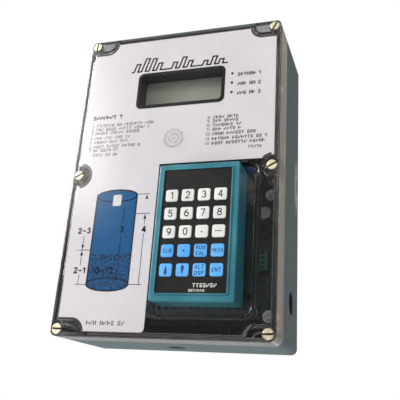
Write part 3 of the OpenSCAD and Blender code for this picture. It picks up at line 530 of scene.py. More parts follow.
finishes |= {
    "screw_brass": metal("plated screw brass", shade(236, 230, 210), shade(196, 184, 150), 0.3),
    "insert_brass": metal("turned brass", shade(122, 106, 76), shade(84, 74, 54), 0.4),
    "frame_metal": metal("blackened frame metal", shade(58, 58, 60), shade(36, 36, 38), 0.4),
    "zinc_steel": metal("zinc steel", shade(206, 208, 206), shade(146, 148, 144), 0.3),
    "dull_zinc": metal("dulled zinc", shade(58, 58, 56), shade(40, 40, 38), 0.5),
    "bright_zinc": metal("bright zinc", shade(236, 238, 236), shade(180, 182, 178), 0.35, metallic=0.4),
    "core_iron": metal("stacked iron sheets", shade(120, 120, 122), shade(82, 76, 70), 0.45),
}
print("finishes so far:", len(finishes))

# %% [markdown]
# ## The clear lid and the other glass
#
# The lid is thick clear plastic, so its walls bend and guide the light, and only a real refracting
# shader shows that. Light that falls on the panel through the lid would be lost in the noise of such
# a shader, so shadow rays and diffuse rays pass straight through with a slight tint instead.


# %% Clear plastic and glass
def clear(name, tint, roughness, refraction, through, edge=0.0006):
    """Refracting plastic or glass that lets plain light through with a slight tint."""
    material, tree, surface = start_material(name, roughness)
    surface.inputs["Base Color"].default_value = tint
    surface.inputs["IOR"].default_value = refraction
    surface.inputs["Transmission Weight"].default_value = 1.0
    lines = use_group(tree, scratches, {"Amount": 0.35, "Spread": 0.02})["Scratch"]
    settled = use_group(tree, dust, {"Amount": 0.12})["Dust"]
    hazy = work_out(tree, "MULTIPLY_ADD", work_out(tree, "ADD", lines, settled), 0.35, roughness)
    tree.links.new(hazy, surface.inputs["Roughness"])
    rounded = use_group(tree, edges, {"Radius": edge, "Wear": 0.0})["Normal"]
    tree.links.new(rounded, surface.inputs["Normal"])
    rays = add(tree, "ShaderNodeLightPath").outputs
    carried = work_out(tree, "MAXIMUM", rays["Is Shadow Ray"], rays["Is Diffuse Ray"])
    straight = add(tree, "ShaderNodeBsdfTransparent", {"Color": through})
    mixed = add(tree, "ShaderNodeMixShader", {0: carried, 1: surface.outputs[0], 2: straight.outputs[0]})
    tree.links.new(mixed.outputs[0], tree.nodes["Material Output"].inputs["Surface"])
    return material


finishes["clear_plastic"] = clear("clear lid plastic", shade(250, 250, 250), 0.02, 1.585,
                                  shade(247, 247, 247))
finishes["fuse_glass"] = clear("fuse glass", shade(250, 252, 252), 0.01, 1.5, shade(250, 250, 250), 0.0002)
print("clear finishes: lid and fuse")

# %% [markdown]
# ## Finishes with a pattern of their own
#
# The printed panel is white film with a trace of speckle. The boards are green lacquer over copper
# tracks. The display is grey green and almost matt behind its cover. The can sleeves have a stripe,
# and the lamps are dark red caps, because none of them is lit.


# %% The printed panel
def panel_print():
    """White film: soft clouds of tone, a fine speckle and the faintest orange-peel bump."""
    material, tree, surface = start_material("white panel film", 0.42)
    tone = blend_colour(tree, between(tree, noise(tree, 0.06, 3.0), 0.3, 0.7),
                        shade(233, 227, 230), shade(240, 234, 237))
    speckle = between(tree, noise(tree, 0.0012, 0.0), 0.7, 0.76, 0.0, 0.35)
    tone = blend_colour(tree, speckle, tone, shade(196, 190, 186))
    tree.links.new(tone, surface.inputs["Base Color"])
    bumped = add(tree, "ShaderNodeBump", {"Distance": 0.000006, "Height": noise(tree, 0.0006, 1.0)})
    tree.links.new(bumped.outputs[0], surface.inputs["Normal"])
    return material


finishes["panel_print"] = panel_print()
print("panel film:", finishes["panel_print"].name)


# %% [markdown]
# ### Circuit boards
#
# A board seen past the handset is dark green, with lighter tracks and small tinned pads. Square
# Voronoi cells give both at once: a pad near each cell's centre, and tracks where the distance from
# it is greatest.


# %% Circuit boards
BOARD_CELLS, TRACK_FADE, PAD_FADE = 170.0, (0.42, 0.46), (0.1, 0.12)


def circuit_board():
    """Lacquer over tracks: a tinned pad within a short distance of each cell's centre, and a track
    beyond a longer one."""
    material, tree, surface = start_material("green circuit board", 0.35)
    place = object_place(tree)
    cells = add(tree, "ShaderNodeTexVoronoi", {"Vector": place, "Scale": BOARD_CELLS},
                distance="CHEBYCHEV", feature="F1")
    tracks = between(tree, cells.outputs["Distance"], *TRACK_FADE)
    pads = between(tree, cells.outputs["Distance"], *PAD_FADE, 1.0, 0.0)
    tone = blend_colour(tree, noise(tree, 0.02, 3.0), shade(12, 30, 24), shade(17, 40, 31))
    tone = blend_colour(tree, tracks, tone, shade(26, 56, 40))
    tone = blend_colour(tree, pads, tone, shade(110, 110, 100))
    height = work_out(tree, "ADD", tracks, pads)
    bumped = add(tree, "ShaderNodeBump", {"Distance": 0.00005, "Height": height})
    tree.links.new(tone, surface.inputs["Base Color"])
    tree.links.new(pads, surface.inputs["Metallic"])
    tree.links.new(bumped.outputs[0], surface.inputs["Normal"])
    return material


finishes["circuit_board"] = circuit_board()
print("board:", finishes["circuit_board"].name)


# %% [markdown]
# ### Display, lamps and cans
#
# The resting display is a dull film under smooth glass, which a clear coat over a rougher base shows.
# The lamps get a thinner coat. A can is one solid, so its bare front end is found by the direction
# that the surface faces.


# %% Display, lamps and cans
def display_glass():
    """A resting display: grey green with a fine vertical grain, under a smooth cover."""
    material, tree, surface = start_material("grey green display", 0.3)
    surface.inputs["Coat Weight"].default_value = 1.0
    surface.inputs["Coat Roughness"].default_value = 0.04
    fine = add(tree, "ShaderNodeMapping", {"Vector": object_place(tree), "Scale": (1.0, 1.0, 0.2)})
    streaks = noise(tree, 0.0008, 2.0, place=fine.outputs[0])
    clouds = between(tree, noise(tree, 0.03, 3.0), 0.3, 0.7)
    tone = blend_colour(tree, clouds, shade(162, 166, 152), shade(175, 178, 166))
    tone = blend_colour(tree, work_out(tree, "MULTIPLY", streaks, 0.2), tone, shade(88, 94, 84))
    tree.links.new(tone, surface.inputs["Base Color"])
    return material


def lamp_red():
    """A dark red lamp cap with a fine mottle, under a clear skin."""
    material, tree, surface = start_material("dark red lamp", 0.25)
    surface.inputs["Coat Weight"].default_value = 0.6
    tone = blend_colour(tree, noise(tree, 0.001, 2.0), shade(44, 20, 20), shade(74, 30, 30))
    tree.links.new(tone, surface.inputs["Base Color"])
    return material


def can_sleeve():
    """A grey sleeve that turns to bare metal on the can's front end, with a printed stripe."""
    material, tree, surface = start_material("can sleeve", 0.4)
    geometry = add(tree, "ShaderNodeNewGeometry").outputs
    facing = add(tree, "ShaderNodeSeparateXYZ", {0: geometry["Normal"]}).outputs
    front = between(tree, work_out(tree, "MULTIPLY", facing["Y"], -1.0), 0.7, 0.9)
    stripe = between(tree, facing["X"], 0.72, 0.74)
    tone = blend_colour(tree, stripe, shade(62, 66, 80), shade(186, 186, 180))
    bare = blend_colour(tree, noise(tree, 0.003, 4.0), shade(150, 152, 146), shade(196, 196, 190))
    tree.links.new(blend_colour(tree, front, tone, bare), surface.inputs["Base Color"])
    tree.links.new(work_out(tree, "MULTIPLY", front, 0.6), surface.inputs["Metallic"])
    return material


finishes["display_glass"] = display_glass()
finishes["lamp_red"] = lamp_red()
finishes["can_sleeve"] = can_sleeve()
print("all finishes:", len(finishes))


# %% [markdown]
# ## Dressing the solids
#
# Each solid came in with the material slot that the record gives it. The finish of that name goes
# into the slot, so a new solid of a known material needs no line of its own here. Two groups of small
# screws share a material with others but look duller or brighter, so they name their own finish.


# %% Dress the solids
OWN_FINISH = {"terminal_screws": "dull_zinc", "board_screws": "bright_zinc"}


def dress(name):
    """Puts the finishes in a solid's slots, by the names that the slots came with."""
    solid = solids[name]
    for index, old in enumerate(solid.data.materials):
        solid.data.materials[index] = finishes[OWN_FINISH.get(name, old.name.split(".")[0])]


for solid_name in solids:
    dress(solid_name)
print("dressed", len(solids), "solids")

# %% [markdown]
# ## New meshes from whole arrays
#
# The pieces below are drawn as seen from the front, in millimetres: across, up, and out from the
# wall. A flat shape is a list of points with sets of faces. Giving it a thickness turns the faces
# round at the back and adds a wall along each edge that only one face uses, so every piece is closed.


# %% Helpers for shapes
def place(across, up, out):
    """Points in metres in the frame, from millimetres across, up and out from the wall."""
    across, up, out = np.broadcast_arrays(across, up, out)
    return np.stack([across, -out, up], axis=-1).reshape(-1, 3) * MM


def join(shapes):
    """Several shapes as one: the points in a row, and the faces moved on to match."""
    points, face_sets, start = [], [], 0
    for shape_points, shape_faces in shapes:
        points.append(shape_points)
        face_sets += [faces + start for faces in shape_faces]
        start += len(shape_points)
    return np.concatenate(points), face_sets


def thicken(shape, back, front):
    """A flat shape between two distances from the wall."""
    points, face_sets = shape
    pairs = np.concatenate([
        np.stack([faces, np.roll(faces, -1, axis=1)], axis=-1).reshape(-1, 2) for faces in face_sets])
    codes = pairs @ [len(points), 1]
    rim = pairs[~np.isin(codes, pairs @ [1, len(points)])]
    walls = np.stack([rim[:, 0] + len(points), rim[:, 1] + len(points), rim[:, 1], rim[:, 0]], axis=1)
    solid = [place(*points.T, front), place(*points.T, back)]
    turned = [faces[:, ::-1] + len(points) for faces in face_sets]
    return np.concatenate(solid), [*face_sets, *turned, walls]


def loft(rings):
    """A skin over rings that run from the back to the front, with a flat cap at each end."""
    count, around = rings.shape[:2]
    index = np.arange(count * around).reshape(count, around)
    lower, upper = index[:-1], index[1:]
    sides = np.stack([lower, np.roll(lower, -1, 1), np.roll(upper, -1, 1), upper], axis=-1)
    return rings.reshape(-1, 3), [sides.reshape(-1, 4), index[:1, ::-1], index[-1:]]


def new_piece(name, solid, finish, body="controller", smooth=False):
    """One object from the points and faces of a solid, in its finish, riding on its body."""
    points, face_sets = solid
    mesh = bpy.data.meshes.new(name)
    ends = np.cumsum([faces.shape[1] for faces in face_sets for _ in faces])
    corner_points = np.concatenate([faces.ravel() for faces in face_sets])
    mesh.vertices.add(len(points))
    mesh.loops.add(len(corner_points))
    mesh.polygons.add(len(ends))
    mesh.vertices.foreach_set("co", np.ascontiguousarray(points, dtype=np.float32).ravel())
    mesh.loops.foreach_set("vertex_index", corner_points.astype(np.int32))
    mesh.polygons.foreach_set("loop_start", np.concatenate([[0], ends[:-1]]).astype(np.int32))
    mesh.polygons.foreach_set("use_smooth", np.full(len(ends), smooth))
    mesh.update(calc_edges=True)
    piece = bpy.data.objects.new(name, mesh)
    bpy.context.scene.collection.objects.link(piece)
    mesh.materials.append(finish)
    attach(piece, body)
    return piece


print("shape helpers: place, join, thicken, loft and new_piece")


# %% [markdown]
# ### Flat shapes
#
# All print is made from a few outlines: boxes, polygons, lines with a width, and rings. Each function
# returns points and faces as whole arrays, so that thicken can turn any of them into a closed piece.


# %% Flat shapes
FULL_TURN = 2 * np.pi


def boxes(sides):
    """Flat boxes from rows of left, bottom, right and top."""
    left, bottom, right, top = np.asarray(sides, dtype=float).reshape(-1, 4).T
    points = np.stack([left, bottom, right, bottom, right, top, left, top], axis=1).reshape(-1, 2)
    return points, [np.arange(len(points)).reshape(-1, 4)]


def polygon(points):
    """One flat face from its corners, counter-clockwise."""
    return np.asarray(points, dtype=float), [np.arange(len(points))[None]]


def stroke(path, width, closed=False):
    """A line of a given width: each point of the path is moved half the width to both sides."""
    path = np.asarray(path, dtype=float)
    if closed:
        along = np.roll(path, -1, axis=0) - np.roll(path, 1, axis=0)
    else:
        along = np.gradient(path, axis=0)
    along /= np.linalg.norm(along, axis=1)[:, None]
    aside = np.stack([-along[:, 1], along[:, 0]], axis=1) * width / 2
    count = len(path)
    start = np.arange(count if closed else count - 1)
    after = (start + 1) % count
    quads = np.stack([start + count, after + count, after, start], axis=1)
    return np.concatenate([path + aside, path - aside]), [quads]


def arc(centre, radii, start=0.0, end=FULL_TURN, steps=32):
    """Points on an ellipse between two angles. A full turn doesn't repeat its first point."""
    turn = np.linspace(start, end, steps, endpoint=end - start < FULL_TURN - 0.01)
    return np.asarray(centre) + np.stack([np.cos(turn), np.sin(turn)], axis=1) * radii


def rounded_box(half_width, half_height, radius, steps=7):
    """The outline of a box with round corners: each corner's centre plus a quarter turn."""
    turn = np.linspace(0, np.pi / 2, steps) + np.arange(4)[:, None] * np.pi / 2
    sign = np.array([[1, 1], [-1, 1], [-1, -1], [1, -1]])
    centres = sign * [half_width - radius, half_height - radius]
    bend = np.stack([np.cos(turn), np.sin(turn)], axis=-1) * radius
    return (centres[:, None] + bend).reshape(-1, 2)


def ring(outer, inner):
    """The flat face between two outlines with equal numbers of points."""
    count = len(outer)
    start = np.arange(count)
    after = (start + 1) % count
    return np.concatenate([outer, inner]), [np.stack([start, after, after + count, start + count], axis=1)]


print("flat shapes: boxes, polygon, stroke, arc, rounded_box and ring")

# %% [markdown]
# ## Plain lettering
#
# Numbers and short general words are drawn with a round pen, as on an engraved sign: every letter is
# a few lines in a box one unit high, and the pen gives them their weight. That stays crisp at any
# size and gives closed solids, which a font's filled outlines don't always do.

# %% Letters drawn with a pen
def pen(path, width):
    """A line with round ends and corners: a box along each step and a disc at each point."""
    path = np.asarray(path, dtype=float)
    steps = [stroke(path[start:start + 2], width) for start in range(len(path) - 1)]
    discs = [polygon(arc(point, width / 2, steps=10)) for point in path]
    return join(steps + discs)


def bow(centre, radii, start, end, steps=9):
    """Points along part of an ellipse, with its angles in degrees."""
    return arc(centre, np.array(radii), np.radians(start), np.radians(end), steps).tolist()


GLYPHS = {
    "0": [bow((0.3, 0.5), (0.3, 0.5), 90, 449, 17)],
    "1": [[(0.1, 0.8), (0.36, 1), (0.36, 0)]],
    "2": [[*bow((0.3, 0.72), (0.28, 0.28), 165, -30), (0, 0), (0.6, 0)]],
    "3": [[*bow((0.28, 0.76), (0.25, 0.24), 150, -80), *bow((0.28, 0.27), (0.3, 0.27), 80, -150)]],
    "4": [[(0.64, 0.28), (0, 0.28), (0.46, 1), (0.46, 0)]],
    "5": [[(0.55, 1), (0.12, 1), (0.06, 0.54), *bow((0.28, 0.32), (0.31, 0.32), 110, -145)]],
    "6": [bow((0.3, 0.31), (0.3, 0.31), 90, 449, 15), bow((0.56, 0.3), (0.56, 0.7), 105, 175)],
    "7": [[(0, 1), (0.58, 1), (0.2, 0)]],
    "8": [bow((0.3, 0.76), (0.24, 0.24), 90, 449, 13), bow((0.3, 0.27), (0.3, 0.27), 90, 449, 15)],
    "9": [bow((0.3, 0.69), (0.3, 0.31), 90, 449, 15), bow((0.04, 0.7), (0.56, 0.7), -75, -5)],
    "-": [[(0.05, 0.45), (0.5, 0.45)]],
    "A": [[(0, 0), (0.32, 1), (0.64, 0)], [(0.12, 0.34), (0.52, 0.34)]],
    "C": [bow((0.34, 0.5), (0.34, 0.5), 52, 308, 12)],
    "D": [[(0, 0), (0, 1), (0.2, 1), *bow((0.2, 0.5), (0.4, 0.5), 80, -80), (0.2, 0), (0, 0)]],
    "E": [[(0.52, 1), (0, 1), (0, 0), (0.52, 0)], [(0, 0.52), (0.44, 0.52)]],
    "L": [[(0, 1), (0, 0), (0.5, 0)]],
    "M": [[(0, 0), (0, 1), (0.36, 0.35), (0.72, 1), (0.72, 0)]],
    "N": [[(0, 0), (0, 1), (0.58, 0), (0.58, 1)]],
    "P": [[(0, 0), (0, 1), (0.3, 1), *bow((0.3, 0.74), (0.28, 0.26), 70, -70), (0.3, 0.48), (0, 0.48)]],
    "R": [[(0, 0), (0, 1), (0.3, 1), *bow((0.3, 0.74), (0.26, 0.26), 70, -70), (0.3, 0.48), (0, 0.48)],
          [(0.3, 0.48), (0.58, 0)]],
    "S": [[*bow((0.3, 0.75), (0.26, 0.25), 40, 250), *bow((0.3, 0.26), (0.28, 0.26), 80, -140)]],
    "T": [[(0, 1), (0.62, 1)], [(0.31, 1), (0.31, 0)]],
    "U": [[(0, 1), *bow((0.29, 0.3), (0.29, 0.3), 180, 360), (0.58, 1)]],
}


def letters(text, height, centre, weight=0.15):
    """Plain lettering drawn with a round pen: each letter's lines, one after the other, centred."""
    paths, along = [], 0.0
    for letter in text:
        lines = [np.array(line) for line in GLYPHS[letter]]
        left = min(line[:, 0].min() for line in lines)
        right = max(line[:, 0].max() for line in lines)
        paths += [line + [along - left, 0] for line in lines]
        along += right - left + 0.2 + weight
    middle = np.array([(along - 0.2 - weight) / 2, 0.5])
    return join([pen((path - middle) * height + centre, weight * height) for path in paths])


print("letters:", "".join(GLYPHS))

# %% [markdown]
# ## The keys
#
# Each key is a hard cap with soft shoulders on a wider foot that the panel holds in, with a short
# stem that pushes the dome switch. A loft through round-cornered outlines makes all three at once:
# the outline grows at the foot, shrinks for the cap, and draws in along a quarter circle at the top.
# The caps carry plain numbers and short general words, cut as thin ink on the top.

# %% The key caps
KEY_PITCH_ACROSS, KEY_PITCH_UP = 15.4, 17.1
FIRST_KEY = (8.8, -30.7)
KEY_BACK, FOOT_BACK, FOOT_FRONT, KEY_FRONT = 113.6, 114.5, 115.3, 117.7
CAP_HALF, FOOT_HALF, SHOULDER = (5.9, 5.75), (6.6, 6.45), 0.5
STEM_HALF, STEM_CORNER, KEY_CORNER = 3.0, 2.98, 2.0
WHITE_ROWS, KEY_CREASE = 3, 50
KEY_ROWS = (("1", "2", "3", "4"), ("5", "6", "7", "8"), ("9", "0", "point", "dash"),
            ("clear", "select", "run_cal", "measure"), ("up", "down", "alt", "enter"))


def key_profile():
    """Rows of half width, half height, corner radius and distance out, from the stem to the top."""
    turn = np.linspace(0, np.pi / 2, 6)
    drawn_in = SHOULDER * (1 - np.cos(turn))
    stem = (STEM_HALF, STEM_HALF, STEM_CORNER)
    foot = (*FOOT_HALF, KEY_CORNER)
    rows = [(*stem, KEY_BACK), (*stem, FOOT_BACK), (*foot, FOOT_BACK), (*foot, FOOT_FRONT),
            (*CAP_HALF, KEY_CORNER, FOOT_FRONT)]
    rows += [(CAP_HALF[0] - inward, CAP_HALF[1] - inward, KEY_CORNER - inward / 2,
              KEY_FRONT - SHOULDER + rise)
             for inward, rise in zip(drawn_in, SHOULDER * np.sin(turn))]
    return rows


def make_key(name, row, column):
    """One key, in place of its solid, white in the upper rows and blue in the lower two."""
    centre = np.array(FIRST_KEY) + [column * KEY_PITCH_ACROSS, -row * KEY_PITCH_UP]
    rings = [place(*(rounded_box(*sizes) + centre).T, out) for *sizes, out in key_profile()]
    slot = "key_white" if row < WHITE_ROWS else "key_blue"
    key = new_piece(f"key_cap_{name}", loft(np.stack(rings)), finishes[slot], f"key_{name}_cap", True)
    key.data.set_sharp_from_angle(angle=np.radians(KEY_CREASE))
    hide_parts(f"key_{name}")
    return centre


key_centres = {}
for row, names in enumerate(KEY_ROWS):
    for column, name in enumerate(names):
        key_centres[name] = make_key(name, row, column)
print("keys:", len(key_centres))

# %% [markdown]
# ### The marks on the keys
#
# The white keys carry digits, a dot and a dash. The blue ones say what they do, in short general
# words, two arrows and a small star. Each mark is its own piece, because it rides on its key.


# %% The marks on the keys
THIN_EDGE = 0.00005


def ink_finish(name, dark, light, roughness=0.6, dusty=0.1, shine=0.2):
    """A printed layer: the recipe of the plastics, with edges too thin to look rounded."""
    return moulded(name, dark, light, roughness, dusty=dusty, edge=THIN_EDGE, shine=shine)


finishes["key_ink"] = ink_finish("dark key ink", shade(40, 44, 52), shade(58, 62, 70), 0.5, 0.05, 0.5)
finishes["key_ink_blue"] = ink_finish("navy key ink", shade(10, 46, 96), shade(16, 56, 110), 0.5, 0.05, 0.5)
KEY_WORDS = {"clear": ("CLR",), "run_cal": ("RUN", "CAL"), "measure": ("MEAS",), "alt": ("ALT", "DSP"),
             "enter": ("ENT",)}
INK_SUNK, INK_FRONT = KEY_FRONT - 0.02, KEY_FRONT + 0.04
DIGIT_HIGH, WORD_HIGH, LONG_WORD_HIGH, LINE_STEP = 6.0, 3.2, 2.7, 5.4
DIGIT_WEIGHT, WORD_WEIGHT = 0.16, 0.17
DOT_RADIUS, DASH_HALF, STAR_RADII = 0.75, (3.4, 0.35), (0.75, 1.3)
UP_SPEAR, DOWN_SPEAR = (1.5, 4.3), (1.6, -4.1)


def spear(centre, half_width, half_height):
    """A slender arrow: a point, shoulders low down and a blunt foot. A negative height turns it."""
    sides = np.array([(0, 1), (-0.5, 0.35), (-1, -0.5), (-0.5, -1), (0.5, -1), (1, -0.5), (0.5, 0.35)])
    points = sides * [half_width, half_height]
    return polygon((points[::-1] if half_height < 0 else points) + centre)


def key_mark(name):
    """The flat ink shape of one key."""
    centre = key_centres[name]
    if name.isdigit():
        return letters(name, DIGIT_HIGH, centre + [0, 0.2], DIGIT_WEIGHT)
    if name == "point":
        return polygon(arc(centre - [0, 0.5], DOT_RADIUS, steps=16))
    if name == "dash":
        return boxes([(*(centre - DASH_HALF), *(centre + DASH_HALF))])
    if name == "select":
        return polygon(arc(centre, np.where(np.arange(16) % 2, *STAR_RADII)[:, None], steps=16))
    if name == "up":
        return spear(centre, *UP_SPEAR)
    if name == "down":
        return spear(centre, *DOWN_SPEAR)
    words = KEY_WORDS[name]
    lines = (np.arange(len(words)) - (len(words) - 1) / 2) * -LINE_STEP
    height = LONG_WORD_HIGH if name == "measure" else WORD_HIGH
    return join([letters(word, height, centre + [0, line], WORD_WEIGHT) for word, line in zip(words, lines)])


for name in key_centres:
    mark = thicken(key_mark(name), INK_SUNK, INK_FRONT)
    ink = finishes["key_ink" if name.isdigit() or name in ("point", "dash") else "key_ink_blue"]
    new_piece(f"key_mark_{name}", mark, ink, f"key_{name}_cap")
print("key marks:", len(key_centres))

# %% [markdown]
# ## The print on the front panel
#
# The real panel is screen printed: two lists of settings, three lamp labels and a picture of a tank
# with its measured distances. Here the words are rows of small plain marks, the numbers are plain
# numbers, and a drawing of a fading echo stands above the display. Everything is a thin layer of ink
# on the panel, so it stays sharp from near by and needs no picture file.

# %% Inks and rows of marks
PANEL_FRONT = 100.3
INK_BACK, INK_TOP = PANEL_FRONT + 0.01, PANEL_FRONT + 0.06
finishes["panel_ink"] = ink_finish("grey panel ink", shade(46, 44, 50), shade(62, 60, 66))
finishes["panel_ink_dark"] = ink_finish("black panel ink", shade(12, 12, 14), shade(22, 22, 25))
MARKS = (((0, 0, 0.24, 1), (0.32, 0.38, 0.74, 0.62)), ((0, 0, 0.24, 1), (0.5, 0, 0.74, 1)),
         ((0, 0, 0.7, 0.2), (0, 0.4, 0.7, 0.6), (0, 0.8, 0.7, 1)), ((0.25, 0, 0.45, 0.7), (0, 0.8, 0.7, 1)),
         ((0, 0, 0.2, 0.7), (0.3, 0.25, 0.5, 0.45), (0.5, 0.5, 0.7, 1)))
MARK_WIDE, MARK_STEP, WORD_GAP = 0.7, 0.95, 0.8
luck = np.random.default_rng(7)


def mark_row(left, right, middle, height, bold=0.0):
    """Words of two to seven small marks between two places, as boxes in one array. Each box grows by
    the bold width on all sides."""
    rows, along = [], left
    while along < right - height * MARK_WIDE:
        for _ in range(luck.integers(2, 8)):
            if along < right - height * MARK_WIDE:
                bars = np.array(MARKS[luck.integers(len(MARKS))]) * height + [-bold, -bold, bold, bold]
                rows.append(bars + [along, middle - height / 2, along, middle - height / 2])
                along += height * MARK_STEP
        along += height * WORD_GAP
    return boxes(np.concatenate(rows))


print("inks and", len(MARKS), "marks ready")

# %% [markdown]
# ### The lists of settings
#
# Two lists stand on the panel, eight rows at the left and seven at the right. Each row ends at a
# place of its own, so that the lists have the ragged right edge of real text.

# %% The lists of settings
LEFT_ROWS = ((54.5, -23.6), (50.0, -27.5), (46.0, -37.9), (40.5, -47.0), (36.0, -47.7), (30.8, -34.0),
             (27.0, -58.7), (21.8, -57.0))
RIGHT_ROWS = ((54.0, 66.0), (50.0, 68.3), (45.4, 67.5), (41.0, 68.6), (36.2, 82.4), (31.1, 93.9),
              (26.3, 91.7))
LEFT_START, RIGHT_START, SHORT_ROW = -87.2, 38.5, (74.3, 91.4, 20.4)
LEFT_NUMBERS, RIGHT_NUMBERS = -91.0, 33.8
ROW_HIGH, NUMBER_HIGH, RIGHT_BOLD = 3.1, 2.9, 0.08


def settings_lists():
    """The rows of both lists, with the single short row at the right."""
    rows = [mark_row(LEFT_START, end, up, ROW_HIGH) for up, end in LEFT_ROWS]
    rows += [mark_row(RIGHT_START, end, up, ROW_HIGH, RIGHT_BOLD) for up, end in RIGHT_ROWS]
    return join([*rows, mark_row(*SHORT_ROW, NUMBER_HIGH, RIGHT_BOLD)])


def settings_numbers():
    """Plain numbers in front of the rows: 1 to 7 at the left and 8 to 14 at the right."""
    numbers = [letters(str(number), NUMBER_HIGH, (LEFT_NUMBERS, up))
               for number, (up, _) in enumerate(LEFT_ROWS[:7], 1)]
    numbers += [letters(str(number), NUMBER_HIGH, (RIGHT_NUMBERS, up))
                for number, (up, _) in enumerate(RIGHT_ROWS, 8)]
    return join(numbers)


def panel_piece(name, shape, ink, back=INK_BACK, top=INK_TOP):
    """A thin layer of ink on the front panel."""
    return new_piece(name, thicken(shape, back, top), finishes[ink])


panel_piece("settings_rows", settings_lists(), "panel_ink")
panel_piece("settings_numbers", settings_numbers(), "panel_ink")
print("settings:", len(LEFT_ROWS) + len(RIGHT_ROWS), "rows")

# %% [markdown]
# ### Heading, lamp labels and the lower row
#
# The bold print is the same rows of marks, with every box grown a little. Each lamp has a label that
# ends in its number. One plain row stands at the foot of the panel.

# %% Heading, lamp labels and the lower row
LAMP_LABELS, LABEL_ENDS, LABEL_NUMBERS = (99.3, 88.6, 78.3), (61.3, 79.5), 83.2
LABEL_HIGH, LABEL_BOLD, NUMBER_WEIGHT = 3.3, 0.13, 0.26
HEADING = (-91.9, -56.5, 63.6, 4.0, 0.15)
LOWER_ROW = (-70.1, -29.5, -143.2, 3.8)
bold_rows = [mark_row(*HEADING)]
bold_rows += [mark_row(*LABEL_ENDS, up, LABEL_HIGH, LABEL_BOLD) for up in LAMP_LABELS]
bold_rows += [letters(str(number), LABEL_HIGH, (LABEL_NUMBERS, up), NUMBER_WEIGHT)
              for number, up in enumerate(LAMP_LABELS, 1)]
panel_piece("lamp_labels", join(bold_rows), "panel_ink_dark")
panel_piece("lower_row", mark_row(*LOWER_ROW), "panel_ink")
print("lamp labels:", len(LAMP_LABELS))


# %% [markdown]
# ### The fading echo
#
# The controller times an echo, so the drawing over the display shows one: a burst of slanted pulses
# and two weaker answers. It is one line with a round pen, so its corners are closed and even.


# %% The fading echo over the display
ECHO_BASE, ECHO_START, ECHO_LEAD, ECHO_TAIL, ECHO_PEN = 114.2, -52.0, 2.0, 1.0, 1.7
PULSE_WIDE, PULSE_STEP, PULSE_LEAN = 4.2, 8.4, 0.3
ECHO_PULSES = (9, 15, 14, 8, 0, 7, 12, 7, 0, 5, 9, 5)


def echo_drawing():
    """A trace of slanted square pulses: a strong burst, a rest, and two weaker echoes."""
    path, along = [(ECHO_START - ECHO_LEAD, ECHO_BASE)], ECHO_START
    for high in ECHO_PULSES:
        if high:
            top, lean = ECHO_BASE + high, PULSE_LEAN * high
            path += [(along, ECHO_BASE), (along + lean, top), (along + lean + PULSE_WIDE, top),
                     (along + PULSE_WIDE, ECHO_BASE)]
        along += PULSE_STEP
    return pen([*path, (along + ECHO_TAIL, ECHO_BASE)], ECHO_PEN)


panel_piece("echo_drawing", echo_drawing(), "panel_ink_dark")
print("echo drawn")


# %% [markdown]
# ### The tank
#
# The picture explains what is measured: a tank with a sensor in its top and grains in its lower part.
# The film is one flat piece. Its grains are the shader's, because thousands of specks as faces would
# cost far more than they show: each is the middle of a two-dimensional Voronoi cell, and they grow and
# crowd towards the fill line.


# %% The tank and its distances
TANK_LEFT, TANK_RIGHT, TANK_TOP, TANK_BASE = -75.2, -33.1, -22.8, -108.6
FILL_FADE, GRAIN_CELLS, CROWD_FADE = (-0.0775, -0.0765), 410.0, (-0.090, -0.079)
SIDE_LINE, OVAL_LINE, ARROW_HALF, ARROW_LONG = 1.5, 1.4, 1.5, 5.0
SENSOR_SIZES, SENSOR_MIDDLE = (4.4, 5.7, 1.6), (-53.6, -27.4)
FILM_FRONT, SENSOR_FRONT = PANEL_FRONT + 0.03, PANEL_FRONT + 0.075
TANK_MIDDLE = (TANK_LEFT + TANK_RIGHT) / 2
TANK_RADII = ((TANK_RIGHT - TANK_LEFT) / 2, 6.0)


def tank_blue():
    """Blue film: one tone above, and below the fill line the same tone with dark grains in it."""
    material, tree, surface = start_material("tank blue", 0.55)
    surface.inputs["Specular IOR Level"].default_value = 0.15
    height = add(tree, "ShaderNodeSeparateXYZ", {0: object_place(tree)}).outputs["Z"]
    wavy = work_out(tree, "MULTIPLY_ADD", noise(tree, 0.01, 3.0), 0.006, height)
    low = between(tree, wavy, *FILL_FADE, 1.0, 0.0)
    upright = add(tree, "ShaderNodeMapping", {
        "Vector": object_place(tree), "Rotation": (np.pi / 2, 0.0, 0.0)})
    cells = add(tree, "ShaderNodeTexVoronoi", {"Vector": upright.outputs[0], "Scale": GRAIN_CELLS},
                voronoi_dimensions="2D").outputs["Distance"]
    crowded = between(tree, height, *CROWD_FADE, 0.0, 0.13)
    grains = between(tree, work_out(tree, "SUBTRACT", cells, crowded), 0.27, 0.36, 1.0, 0.0)
    grains = work_out(tree, "MULTIPLY", work_out(tree, "MULTIPLY", grains, low), 0.9)
    tone = blend_colour(tree, noise(tree, 0.03, 3.0), shade(0, 80, 136), shade(2, 96, 152))
    tone = blend_colour(tree, grains, tone, shade(4, 24, 52))
    tree.links.new(tone, surface.inputs["Base Color"])
    return material


def tank_outline():
    """The tank's two ovals and its two sides as dark lines."""
    sides = [stroke([(across, TANK_TOP), (across, TANK_BASE)], SIDE_LINE)
             for across in (TANK_LEFT, TANK_RIGHT)]
    ovals = [stroke(arc((TANK_MIDDLE, up), TANK_RADII, steps=56), OVAL_LINE, closed=True)
             for up in (TANK_TOP, TANK_BASE)]
    return join(sides + ovals)


def arrow(across, up, downward):
    """A small arrowhead whose point is at a place."""
    turn = 1 if downward else -1
    points = np.array([(0, 0), (ARROW_HALF, ARROW_LONG), (-ARROW_HALF, ARROW_LONG)]) * turn
    return polygon(points + [across, up])


